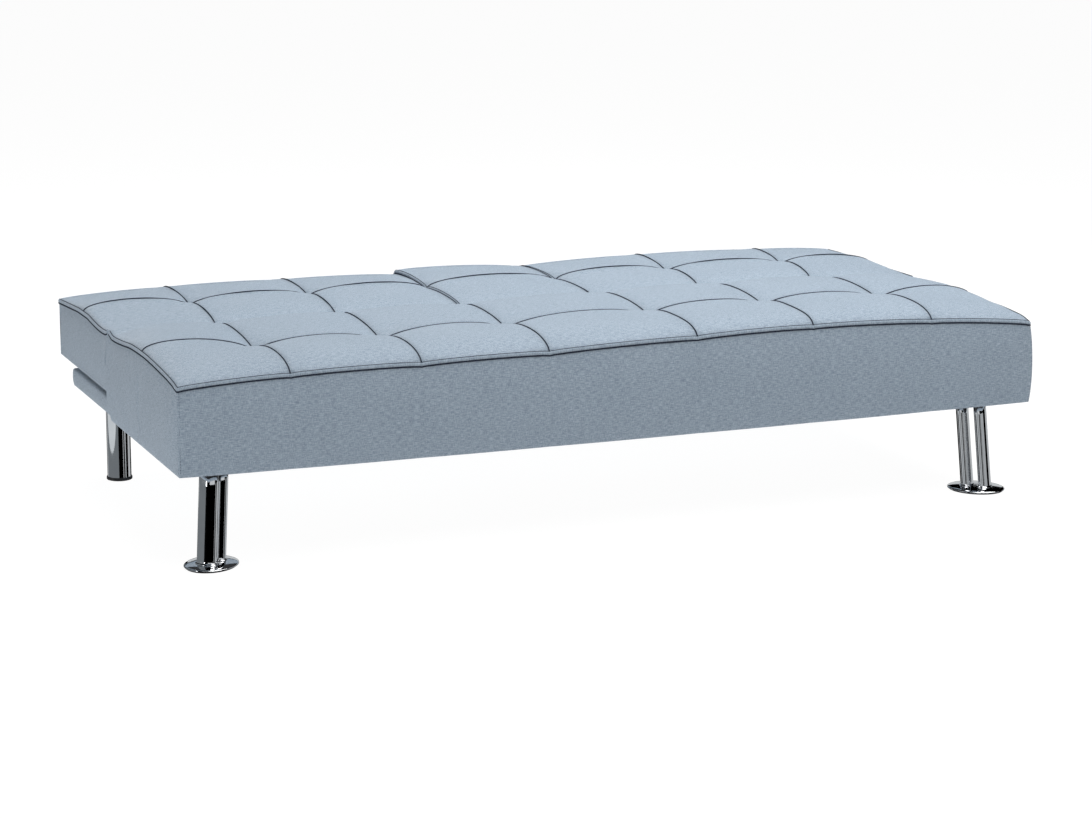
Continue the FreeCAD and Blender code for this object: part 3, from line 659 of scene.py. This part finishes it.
    def close_below(self):
        shape = self.shape
        edge = self.side_rings[-1]
        self.skin_count = len(shape.points)
        self.skin_face_count = len(shape.faces)
        spots = np.array([shape.points[i] for i in edge])
        lo, hi = spots.min(axis=0), spots.max(axis=0)
        middle, half = (lo + hi) / 2, (hi - lo) / 2
        previous = edge
        for inset, z in ((self.turn_in, self.bottom + 0.3), (self.turn_in + 1, self.cap)):
            ring = []
            for point in spots:
                x = middle[0] + (point[0] - middle[0]) * (1 - inset / half[0])
                y = middle[1] + (point[1] - middle[1]) * (1 - inset / half[1])
                level = z if z == self.cap else z + (point[2] - self.bottom)
                ring.append(shape.add((x, y, level)))
            for i in range(len(ring)):
                j = (i + 1) % len(ring)
                shape.face((previous[i], ring[i], ring[j], previous[j]))
            self.creases.update(zip(ring, ring[1:] + ring[:1]))
            previous = ring
        self.close_across(previous)

    def close_across(self, ring):
        """The hidden closing face, as strips from the hem side to the crease side."""
        columns, rows = len(self.grid[0]) - 1, len(self.grid) - 1
        right, left = columns, 2 * columns + rows     # ring places of the crease-side corners
        hem = ring[:columns + 1]
        crease = ring[columns + rows:left + 1][::-1]
        left_end, right_end = ring[left + 1:], ring[right + 1:columns + rows]
        for u in range(columns):
            strip = [hem[u], hem[u + 1]]
            if u == columns - 1:
                strip += right_end
            strip += [crease[u + 1], crease[u]]
            if u == 0:
                strip += left_end
            self.shape.face(strip)

    # -- finishing --------------------------------------------------------
    def seam_shade_and_pucker_mask(self):
        """1 on a seam, fading within a few millimetres; it masks the painted seam shade and the
        puckers.
        """
        points = np.array(self.shape.points)
        sewn = np.array(sorted(self.sewn_lines()))
        marks = points[sewn]
        out = np.zeros(len(points))
        for start in range(0, len(points), 800):
            part = points[start:start + 800]
            gap = np.sqrt(((part[:, None] - marks[None]) ** 2).sum(axis=2)).min(axis=1)
            out[start:start + 800] = np.exp(-gap / 5.0)
        return out

    def sewn_lines(self):
        found = set(self.hem) | set(self.grid[self.seam_row])
        for u in self.line_columns[1:-1]:
            found.update(ring[u] for ring in self.grid)
        return found

    def finish(self, body, slot, replaced, fill, pressure=2.0, slack=0.005, cap=3.6):
        shape = self.shape
        count = self.skin_count
        faces = shape.faces[:self.skin_face_count]
        moved = inflated(shape.points[:count], faces, self.pinned, pressure, slack, cap)
        shape.points[:count] = [np.array(p) for p in moved]
        for point in shape.points:
            point[2] = below_ceiling(point[2])
        made = shape.make(self.name, WOVEN, self.creases, self.seam_shade_and_pucker_mask(), 1)
        ride(made, body, slot, *replaced)
        self.dress(body, slot)
        return made

    def seam_segments(self):
        grid = self.grid
        found = []
        for u in self.line_columns[1:-1]:
            line = [ring[u] for ring in grid]
            found.append(line[:self.seam_row + 1])
            found.append(line[self.seam_row:])
        row = grid[self.seam_row]
        for a, b in zip(self.line_columns, self.line_columns[1:]):
            found.append(row[a:b + 1])
        return [[self.shape.points[i] for i in line] for line in found]

    def hem_path(self):
        """The refined hem line with its outward directions."""
        grid = self.grid
        fixed = {grid[0][u] for u in self.line_columns}
        fixed.update((grid[self.seam_row][0], grid[self.seam_row][-1], self.hem[0], self.hem[-1]))
        path, piece = [], []
        for index in self.hem:
            piece.append(self.shape.points[index])
            if index in fixed and len(piece) > 1:
                path += refined(piece)[:-1]
                piece = [self.shape.points[index]]
        path.append(self.shape.points[self.hem[-1]])
        left, right = self.shape.points[grid[0][0]], self.shape.points[grid[0][-1]]
        outs = []
        for point in path:
            ahead = np.array((0.0, -self.toward, 0.0))
            if abs(point[1] - left[1]) < 6 and left[0] + 1 < point[0] < right[0] - 1:
                outs.append(ahead)
            elif point[0] <= left[0] + 1:
                blend = 1.0 if abs(point[1] - left[1]) > 1 else 0.5
                outs.append(unit(np.array((-blend, 0, 0)) + ahead * (1 - blend)))
            else:
                blend = 1.0 if abs(point[1] - right[1]) > 1 else 0.5
                outs.append(unit(np.array((blend, 0, 0)) + ahead * (1 - blend)))
        return path, outs

    def dress(self, body, slot):
        """Dark seam lines (thread and painted groove shadow), a dark painted-shadow tube under the
        hem, the folded hem with its topstitch, and corner stitches.
        """
        lines = Shape()
        for segment in self.seam_segments():
            path = [point + (0, 0, SEAM_LIFT) for point in refined(segment)]
            outs = [np.array((1.0, 0.3, 0.0))] * len(path)
            sweep(lines, path, outs, ring_profile(SEAM_R, 6))
        path, outs = self.hem_path()
        side = self.toward
        sweep(lines, path, outs, ring_profile(HEM_SHADOW_R, 8, HEM_SHADOW), side)
        corners = [self.shape.points[self.grid[0][end]] for end in (0, -1)]
        first, last = [next(k for k, point in enumerate(path) if np.allclose(point, corner))
                       for corner in corners]
        for start, stop, place in ((0, first, STITCH_ON_EDGE),
                                   (first, last, STITCH_ON_EDGE if side > 0 else STITCH_UNDER),
                                   (last, len(path) - 1, STITCH_ON_EDGE)):
            sweep(lines, path[start:stop + 1], outs[start:stop + 1],
                  ring_profile(HEM_STITCH_R, 6, place), side)
        ride(lines.make(self.name + "_seams", SEAM_THREAD_AND_SHADOW), body, slot)
        hem = Shape()
        sweep(hem, path, outs, HEM_PROFILE, side)
        ride(hem.make(self.name + "_hem", WOVEN, shade=[0.0] * len(hem.points)), body, slot)
        stitches = Shape()
        for index, line in self.corner_lines:
            spots = refined([self.shape.points[i] for i in line])
            self.stitch_line(stitches, spots, index)
        ride(stitches.make(self.name + "_stitches", STITCH), body, slot)

    def stitch_line(self, shape, spots, index):
        """Short threads down both sides of an upright corner seam."""
        left = index in (self.grid[0][0], self.grid[-1][0])
        front = index in (self.grid[0][0], self.grid[0][-1])
        along_x = np.array((1.0 if left else -1.0, 0, 0))
        along_y = np.array((0, self.toward if front else -self.toward, 0))
        lengths = [0.0]
        for a, b in zip(spots, spots[1:]):
            lengths.append(lengths[-1] + float(np.linalg.norm(b - a)))
        place = 9.0
        while place < lengths[-1] - 8:
            pair = [self.at(spots, lengths, place), self.at(spots, lengths, place + 3.2)]
            for away in (along_x, along_y):
                out = unit(-(along_x + along_y)) * 0.15
                path = [p + away * 2.6 + out for p in pair]
                sweep(shape, path, [away, away], ring_profile(0.7, 5))
            place += 5.6

    @staticmethod
    def at(spots, lengths, place):
        k = max(i for i, length in enumerate(lengths[:-1]) if length <= place)
        share = (place - lengths[k]) / max(1e-6, lengths[k + 1] - lengths[k])
        return mix(spots[k], spots[k + 1], share)


SEAM_R = 1.3
SEAM_LIFT = 0.8
# The hem is a flat fold hanging down the side: (outward, upward) places from its edge.
HEM_SHADOW = (1.3, -7.1)
HEM_SHADOW_R = 1.8
STITCH_ON_EDGE = (-0.4, 1.1)
STITCH_UNDER = (1.6, -0.9)
HEM_STITCH_R = 0.75
HEM_PROFILE = [(0.2, 0.8), (1.4, 0.1), (2.3, -1.6), (2.6, -3.4), (2.3, -5.1), (1.4, -5.9),
               (-0.6, -6.0), (-1.6, -2.6), (-1.4, 0.2)]

seat_lo, seat_hi = box_mm("seat_cover")
left_lo, left_hi = box_mm("left_back_cover")
right_lo, right_hi = box_mm("right_back_cover")
console_lo, console_hi = box_mm("console_cover")
TOP = seat_hi[2]
CEILING_START = TOP + 8.0
CEILING_ROOM = 12.5
PANEL_Z = box_mm("left_back_panel")[0][2]
DUST_Z = box_mm("dust_cover")[0][2]
MEET = 6.0             # how far a crease side swells to meet its neighbour


def levels(*offsets):
    """Heights given from the cushions' flat top."""
    return [TOP + offset for offset in offsets]


def end_line(*spots):
    """(y, z) spots along an end, from (y, offset from the flat top) pairs in rising y."""
    return [(y, TOP + offset) for y, offset in spots]


# The column lines, levels and end lines below were worked out by scratch scripts and then
# rounded and adjusted. They are not hand-chosen.
seat = Cushion(
    "seat_cushion",
    [(seat_lo[0], seat_lo[0]), (-682, -670), (-422, -411), (-161, -146),
     (151, 163), (403, 425), (668, 689), (seat_hi[0] - 6, seat_hi[0] - 6)],
    (seat_lo[1], -213.0, seat_hi[1] + MEET),
    [levels(-24, -14, -13, -11, -4, 0, -8, -27),
     levels(-5, -24, -24, -18, -13, -11, -16, -17),
     levels(-12, -16, -12, -14, -11, -10, -13, -24)],
    seat_lo[2], cap=DUST_Z + 0.5, bulge=(7.0, 8.0, 0.0, 8.0), sag=3.5,
    row_arch=(4.0, 26.0, 9.5), column_arch=(28.0, 14.0),
    ends=(end_line((-470, -24), (-440, -18), (-400, -14), (-313, -8), (-243, -5), (-185, -5),
                   (-126, -7), (-70, -13), (-20, -17), (12, -18), (30, -14), (40, -11)),
          end_line((-470, -27), (-439, -20), (-359, -16), (-178, -17), (-6, -23), (40, -24))),
    right_corner=(8.0, 4.0), folds=(2.2, 2.2), seed=3)
seat.finish("base", "woven_cover", ("seat_cover", "seat_foam"), 0.75)

left_back = Cushion(
    "left_back_cushion",
    [(left_lo[0], left_lo[0]), (-674, -677), (-415, -423), (left_hi[0], left_hi[0])],
    (left_hi[1], 257.0, left_lo[1] - MEET),
    [levels(-25, -16, -17, -22), levels(-12, -18, -16, -16), levels(-15, -23, -20, -15)],
    left_lo[2] - 0.8, cap=PANEL_Z + 1.2, bulge=(6.0, 1.0, 0.0, 8.0),
    row_arch=(4.0, 22.0, 9.5), column_arch=(12.0, 19.0), end_arch=(0.0, 8.0),
    ends=(end_line((50, -12), (64, -17), (90, -19), (125, -19), (167, -16), (214, -12),
                   (296, -13), (381, -19), (470, -25)), None),
    folds=(2.2, 0.0), seed=5)
left_back.finish("left_back", "woven_cover", ("left_back_cover", "left_back_foam"), 0.7)

right_back = Cushion(
    "right_back_cushion",
    [(right_lo[0], right_lo[0]), (415, 388), (705, 651), (right_hi[0], right_hi[0])],
    (right_hi[1], 257.0, right_lo[1] - MEET),
    [levels(-23, -16, -22, -33), levels(-17, -18, -20, -28), levels(-14, -18, -16, -24)],
    right_lo[2] - 0.8, cap=PANEL_Z + 1.2, bulge=(6.0, 8.0, 0.0, 1.0),
    row_arch=(4.0, 22.0, 9.5), column_arch=(12.0, 19.0), end_arch=(8.0, 0.0),
    ends=(None, end_line((50, -24), (231, -28), (403, -30), (470, -33))),
    folds=(0.0, 2.2), seed=6)
right_back.finish("right_back", "woven_cover", ("right_back_cover", "right_back_foam"), 0.7)

console = Cushion(
    "console_cushion",
    [(console_lo[0], console_lo[0]), (console_hi[0], console_hi[0])],
    (console_hi[1], 257.0, console_lo[1] - MEET),
    [levels(-14, -24), levels(-14, -18), levels(-15, -12)],
    console_lo[2], cap=console_lo[2] + 1.2, bulge=(4.0, 1.0, 0.0, 1.0),
    row_arch=(8.0, 22.0, 9.0), end_arch=(9.0, 9.0), turn_in=10.0, seed=8)
console.finish("console", "woven_cover", ("console_cover", "console_foam"), 0.7)


# ---- ledge, linings and the console's wrapped box -------------------------
def outline(x0, x1, y0, y1, radius, inset=0.0, corner_steps=6):
    """A rounded rectangle in plan, walked once round."""
    r = max(1.0, radius - inset)
    x0, x1, y0, y1 = x0 + inset, x1 - inset, y0 + inset, y1 - inset
    centres = ((x1 - r, y1 - r, 0), (x0 + r, y1 - r, 90), (x0 + r, y0 + r, 180),
               (x1 - r, y0 + r, 270))
    loop = []
    for cx, cy, start in centres:
        for i in range(corner_steps + 1):
            angle = math.radians(start + 90 * i / corner_steps)
            loop.append((cx + r * math.cos(angle), cy + r * math.sin(angle)))
    return loop


def divided(loop, counts):
    """Each side of a closed outline cut in the same number of steps every time."""
    out = []
    for i, a in enumerate(loop):
        b = loop[(i + 1) % len(loop)]
        n = counts[i]
        out += [(mix(a[0], b[0], k / n), mix(a[1], b[1], k / n)) for k in range(n)]
    return out


def side_counts(loop, edge):
    return [max(1, round(math.dist(a, b) / edge)) for a, b in zip(loop, loop[1:] + loop[:1])]


def stacked(name, material, box, radius, profile, edge=30.0, wobble=0.0, seed=0):
    """Rings of one outline at (inset, z) steps, closed by a last face each end."""
    shape = Shape()
    counts = side_counts(outline(*box, radius), edge)
    rings = []
    for inset, z in profile:
        loop = divided(outline(*box, radius, inset), counts)
        ring = []
        for x, y in loop:
            lift = wobble * noise.noise(Vector((x * 0.012, y * 0.012, seed + z * 0.02)))
            ring.append((x, y, z + lift))
        rings.append(ring)
    shape.loft(rings)
    return shape.make(name, material, shade=[0.0] * len(shape.points))


ledge_lo, ledge_hi = box_mm("ledge_cover")
z0, z1 = ledge_lo[2], ledge_hi[2]
ledge = stacked(
    "ledge_upholstery", WOVEN,
    (ledge_lo[0] - 3, ledge_hi[0] + 3, ledge_lo[1] - 3, ledge_hi[1]), 5.0,
    [(32, DUST_Z + 0.5), (31, z0 + 0.6), (26, z0 + 0.3), (3, z0), (0.6, z0 + 0.8), (0, z0 + 3),
     (-1.2, z0 + 10), (-1.8, mix(z0, z1, 0.5)), (-1.4, z1 - 8), (-0.8, z1 - 3), (0.5, z1 - 1.0),
     (3, z1 + 0.2), (14, z1 + 0.9), (40, z1 + 1.3), (90, z1 + 1.5), (140, z1 + 1.5),
     (165, z1 + 1.5)],
    edge=26.0, wobble=0.7, seed=4)
ride(ledge, "base", "woven_cover", "ledge_cover")


def lining(name, body, node, z, drop, replaced, inset=6.0):
    """A stapled sheet of lining: it hangs a little between its edges."""
    lo, hi = box_mm(node)
    x0, x1, y0, y1 = lo[0] + inset, hi[0] - inset, lo[1] + inset, hi[1] - inset
    shape = Shape()
    nx, ny = max(8, round((x1 - x0) / 24)), max(6, round((y1 - y0) / 24))

    def sheet(lift):
        rows = []
        for j in range(ny + 1):
            row = []
            for i in range(nx + 1):
                x, y = mix(x0, x1, i / nx), mix(y0, y1, j / ny)
                edge = min(1.0, min(x - x0, x1 - x, y - y0, y1 - y) / 60.0)
                ripple = noise.noise(Vector((x * 0.02, y * 0.013, z)))
                row.append(shape.add((x, y, z + lift - drop * edge * (0.6 + 0.6 * ripple))))
            rows.append(row)
        return rows

    below, above = sheet(0.0), sheet(0.35)
    for rows in (below, above):
        for j in range(ny):
            for i in range(nx):
                shape.face((rows[j][i], rows[j][i + 1], rows[j + 1][i + 1], rows[j + 1][i]))
    rim = [(0, i) for i in range(nx)] + [(j, nx) for j in range(ny)]
    rim += [(ny, i) for i in range(nx, 0, -1)] + [(j, 0) for j in range(ny, 0, -1)]
    for (ja, ia), (jb, ib) in zip(rim, rim[1:] + rim[:1]):
        shape.face((below[ja][ia], below[jb][ib], above[jb][ib], above[ja][ia]))
    made = shape.make(name, LINING)
    ride(made, body, "black_lining", *replaced)
    staples = Shape()
    for k, (j, i) in enumerate(rim):
        if k % 2:
            continue
        a = shape.points[below[j][i]]
        along_x = j in (0, ny)
        inward = np.array((0 if along_x else (6 if i == 0 else -6),
                           (6 if j == 0 else -6) if along_x else 0, 0.0))
        half = np.array((5.0, 0, 0)) if along_x else np.array((0, 5.0, 0))
        centre = a + inward + (0, 0, -0.35)
        path = [centre - half + (0, 0, 1.0), centre - half, centre + half,
                centre + half + (0, 0, 1.0)]
        staples_out = [np.array((0.3, 1.0, 0.1))] * 4 if along_x else [np.array((1.0, 0.3, 0.1))] * 4
        sweep(staples, path, staples_out, ring_profile(0.5, 4))
    ride(staples.make(name + "_staples", SLOT_MATERIALS["zinc_steel"]), body, "zinc_steel")
    return made


lining("seat_lining", "base", "dust_cover", DUST_Z + 0.1, 0.0, ("dust_cover",), 0.0)
for part in ("left", "right"):
    lining(part + "_back_lining", part + "_back", part + "_back_panel", PANEL_Z + 0.2, 0.8,
           (part + "_back_panel",), 12.0)

box_lo, box_hi = box_mm("console_box")
skirt = Shape()
counts = side_counts(outline(box_lo[0], box_hi[0], box_lo[1], box_hi[1], 6.0), 24.0)
wrap = 2.0
rings = []
for inset, z in ((-0.4, console_lo[2] + 0.4), (-wrap, console_lo[2] - 1.5), (-wrap - 0.5, 300.0),
                 (-wrap - 0.4, 284.0), (-wrap, box_lo[2] + 2.0), (-1.0, box_lo[2] - 0.7),
                 (1.0, box_lo[2] - 1.2), (8.0, box_lo[2] - 1.1), (11.4, box_lo[2] - 0.7),
                 (11.9, box_lo[2] + 0.6), (11.5, box_lo[2] + 2.5), (5.0, box_lo[2] + 2.5),
                 (5.0, console_lo[2] - 1.0)):
    rings.append([(x, y, z) for x, y in divided(
        outline(box_lo[0], box_hi[0], box_lo[1], box_hi[1], 6.0, inset), counts)])
skirt.loft(rings + rings[:1], caps=False)
skirt_made = skirt.make("console_skirt", WOVEN, shade=[0.0] * len(skirt.points))
ride(skirt_made, "console", "woven_cover")


# ---- legs ----------------------------------------------------------------
def oval(centre, out, long_half, short_half, count=64):
    """An ellipse in plan: its short axis points along out."""
    across = np.array((-out[1], out[0], 0.0))
    return [centre + across * long_half * math.cos(2 * math.pi * k / count)
            + out * short_half * math.sin(2 * math.pi * k / count) for k in range(count)]


LEG_LEAN = 18.0
TUBE_SPACING = 38.0
TUBE_HALF = (20.0, 12.5)
for part, side in (("left", -1.0), ("right", 1.0)):
    out = np.array((side, -1.0, 0.0)) / math.sqrt(2)
    foot_lo, foot_hi = box_mm("front_foot_" + part)
    tube_lo, tube_hi = box_mm("front_leg_tubes_" + part)
    foot = (foot_lo + foot_hi) / 2
    tubes = Shape()
    for offset in (-TUBE_SPACING / 2, TUBE_SPACING / 2):
        low = np.array((foot[0], foot[1], foot_hi[2])) + out * offset
        high = low - out * LEG_LEAN + (0, 0, tube_hi[2] - foot_hi[2])
        rings = []
        bead = ((0.00, 3.2), (0.003, 3.0), (0.008, 2.0), (0.012, 0.9), (0.018, 0.1))
        for t, grow in bead + tuple((t, 0.0) for t in (0.03, 0.2, 0.4, 0.6, 0.8, 1.0)):
            rings.append(oval(mix(low, high, t) - (0, 0, 0.4 if t == 0 else 0), out,
                              TUBE_HALF[0] + grow, TUBE_HALF[1] + grow))
        tubes.loft(rings)
    ride(tubes.make("front_leg_" + part, CHROME), "base", "chrome", "front_leg_tubes_" + part)
    plate = Shape()
    low_z, high_z = foot_lo[2], foot_hi[2]
    across = np.array((-out[1], out[0], 0.0))
    rings = []
    for share, z in ((0.5, low_z), (0.955, low_z), (0.985, low_z + 0.4), (0.998, low_z + 1.2),
                     (1.0, low_z + 2.0), (0.994, low_z + 2.9), (0.972, low_z + 3.7),
                     (0.93, low_z + 4.4), (0.85, low_z + 5.3), (0.72, high_z - 0.8),
                     (0.55, high_z - 0.15), (0.3, high_z)):
        rings.append(oval(np.array((foot[0], foot[1], z)), across, 60.0 * share, 50.0 * share, 96))
    plate.loft(rings)
    ride(plate.make("front_foot_plate_" + part, CHROME), "base", "chrome", "front_foot_" + part)

    leg_lo, leg_hi = box_mm("rear_leg_tube_" + part)
    centre = (leg_lo + leg_hi) / 2
    radius = (leg_hi[0] - leg_lo[0]) / 2
    round_leg = Shape()
    heights = [leg_lo[2], leg_lo[2] + 4] + list(np.linspace(leg_lo[2] + 30, leg_hi[2], 6))
    round_leg.loft([[(centre[0] + radius * math.cos(math.pi * k / 36),
                      centre[1] + radius * math.sin(math.pi * k / 36), z) for k in range(72)]
                    for z in heights])
    ride(round_leg.make("rear_leg_" + part, CHROME), "base", "chrome", "rear_leg_tube_" + part)
    cap_lo, cap_hi = box_mm("rear_leg_cap_" + part)
    reach = (cap_hi[0] - cap_lo[0]) / 2
    top_z = cap_hi[2]
    cap = Shape()
    profile = ((reach * 0.3, 0.0), (reach - 2.0, 0.0), (reach - 0.7, 0.4), (reach, 1.6),
               (reach, 4.0), (reach, top_z - 3.0), (reach - 0.4, top_z - 1.2),
               (reach - 1.1, top_z - 0.3), (reach - 2.1, top_z), (reach - 2.6, top_z - 0.6))
    cap.loft([[(centre[0] + r * math.cos(math.pi * k / 36),
                centre[1] + r * math.sin(math.pi * k / 36), z) for k in range(72)]
              for r, z in profile])
    ride(cap.make("rear_foot_cap_" + part, SLOT_MATERIALS["black_plastic"]), "base",
         "black_plastic", "rear_leg_cap_" + part)


# ---- carried-over nodes --------------------------------------------------
for name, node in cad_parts.items():
    for slot in node.material_slots:
        key = (slot.material.name if slot.material else "painted_steel").split(".")[0]
        slot.material = SLOT_MATERIALS.get(key, SLOT_MATERIALS["painted_steel"])


# ---- floor, light and camera ---------------------------------------------
def staged(name, corners, material):
    """One flat staging sheet."""
    mesh = bpy.data.meshes.new(name)
    mesh.from_pydata([tuple(corner) for corner in corners], [], [tuple(range(len(corners)))])
    mesh.materials.append(material)
    made = bpy.data.objects.new(name, mesh)
    scene.collection.objects.link(made)
    return made


def glowing(name, grey, strength, diffuse):
    """A pale or dark stage surface: some glow of its own, a little cloudy."""
    m = Nodes(name)
    cloud = m.noise(m.node("ShaderNodeTexCoord").outputs["Object"], 0.8, 2.0, 0.5)
    colour = m.ramp(cloud, [(0.3, (diffuse * 0.97,) * 3), (0.7, (diffuse * 1.03,) * 3)])
    m.feed(m.shader.inputs["Emission Color"], (*grey, 1.0))
    m.feed(m.shader.inputs["Emission Strength"], strength)
    m.feed(m.shader.inputs["Specular IOR Level"], 0.0)
    return m.finish(Base_Color=colour, Roughness=m.span(cloud, 0, 1, 0.9, 1.0))


def stage_floor():
    """A wide pale floor that the chrome doesn't mirror: the cards stand in for the room."""
    reach, z = 60.0, -0.0005
    floor = staged("floor", [(-reach, -reach, z), (reach, -reach, z), (reach, reach, z),
                             (-reach, reach, z)],
                   glowing("floor_paint", (1.0, 1.0, 1.0), 0.97, 0.10))
    floor.visible_glossy = False


def mirror_card(name, centre, across, half_width, half_height, grey, strength, count):
    """A card that only the chrome sees: an ellipse, or a rectangle if count is 4."""
    centre, across = np.array(centre), unit(np.array((*across, 0.0)))
    turn = math.pi / 4 if count == 4 else 0.0
    grow = math.sqrt(2) if count == 4 else 1.0
    corners = []
    for k in range(count):
        angle = turn + 2 * math.pi * k / count
        corners.append(centre + across * half_width * grow * math.cos(angle)
                       + np.array((0, 0, half_height * grow * math.sin(angle))))
    card = staged(name, corners, glowing(name + "_paint", grey, strength, 0.0))
    card.visible_camera = card.visible_diffuse = card.visible_shadow = False


def area_light(name, location, target, size, power, colour=(1.0, 1.0, 1.0)):
    light = bpy.data.lights.new(name, "AREA")
    light.shape = "RECTANGLE"
    light.size, light.size_y = size
    light.energy = power
    light.color = colour
    made = bpy.data.objects.new(name, light)
    scene.collection.objects.link(made)
    made.location = location
    made.rotation_euler = (Vector(target) - Vector(location)).to_track_quat("-Z", "Y").to_euler()


def far_card(name, bearing, half_width, middle, half_height, strength, away=3.2):
    """A mirror card standing round the sofa, its bearing in degrees from +X."""
    angle = math.radians(bearing)
    mirror_card(name, (away * math.cos(angle), away * math.sin(angle), middle),
                (-math.sin(angle), math.cos(angle)), half_width, half_height,
                (0.95, 0.98, 1.0), strength, 4)


stage_floor()
mirror_card("grey_card", (-1.18, 0.24, 0.02), (0.156, -0.987), 0.75, 0.35,
            (0.86, 0.94, 1.0), 0.19, 4)
mirror_card("oval_card", (-1.11, 0.287, 0.059), (0.156, -0.987), 0.33, 0.066,
            (0.92, 0.97, 1.0), 0.66, 40)
mirror_card("near_card_a", (0.41, -0.95, -0.04), (0.5, -0.866), 0.24, 0.3,
            (0.93, 0.97, 1.0), 0.42, 4)
mirror_card("near_card_b", (0.12, -0.45, -0.04), (0.5, -0.866), 0.24, 0.3,
            (0.93, 0.97, 1.0), 0.50, 4)
mirror_card("near_card_c", (1.22, -0.88, -0.05), (0.766, 0.643), 0.28, 0.3,
            (0.93, 0.97, 1.0), 0.40, 4)
far_card("right_card", 17.0, 1.15, -0.5, 1.1, 0.50)
far_card("thin_card", -71.0, 0.16, -0.5, 1.1, 0.55)
far_card("rear_card", 128.0, 0.50, -0.5, 1.1, 0.45)
far_card("low_card", 66.0, 1.6, 0.35, 0.45, 0.60)
far_card("front_card", -108.0, 2.6, 1.9, 1.2, 0.60, 5.5)
area_light("overhead", (0.6, 0.2, 3.0), (0.1, 0.0, 0.3), (4.2, 3.4), 178.0)
area_light("left_fill", (-4.2, -0.9, 0.7), (0.0, 0.0, 0.3), (2.2, 1.2), 46.0)
area_light("front_high", (0.6, -2.6, 3.2), (0.3, -0.4, 0.3), (3.5, 1.2), 40.0)

FOCAL, SENSOR = 108.1, 36.0
YAW, PITCH, ROLL = 0.377, 0.224, 0.002
cam_data = bpy.data.cameras.new("camera")
cam_data.lens, cam_data.sensor_width = FOCAL, SENSOR
camera = bpy.data.objects.new("camera", cam_data)
scene.collection.objects.link(camera)
ahead = Vector((math.sin(YAW) * math.cos(PITCH), math.cos(YAW) * math.cos(PITCH),
                -math.sin(PITCH)))
level = Vector((math.cos(YAW), -math.sin(YAW), 0.0))
upright = level.cross(ahead)
right = level * math.cos(ROLL) + upright * math.sin(ROLL)
up = upright * math.cos(ROLL) - level * math.sin(ROLL)
camera.matrix_world = Matrix.Translation((-2.4428, -6.2130, 1.6739)) @ Matrix(
    (right, up, -ahead)).transposed().to_4x4()
scene.camera = camera
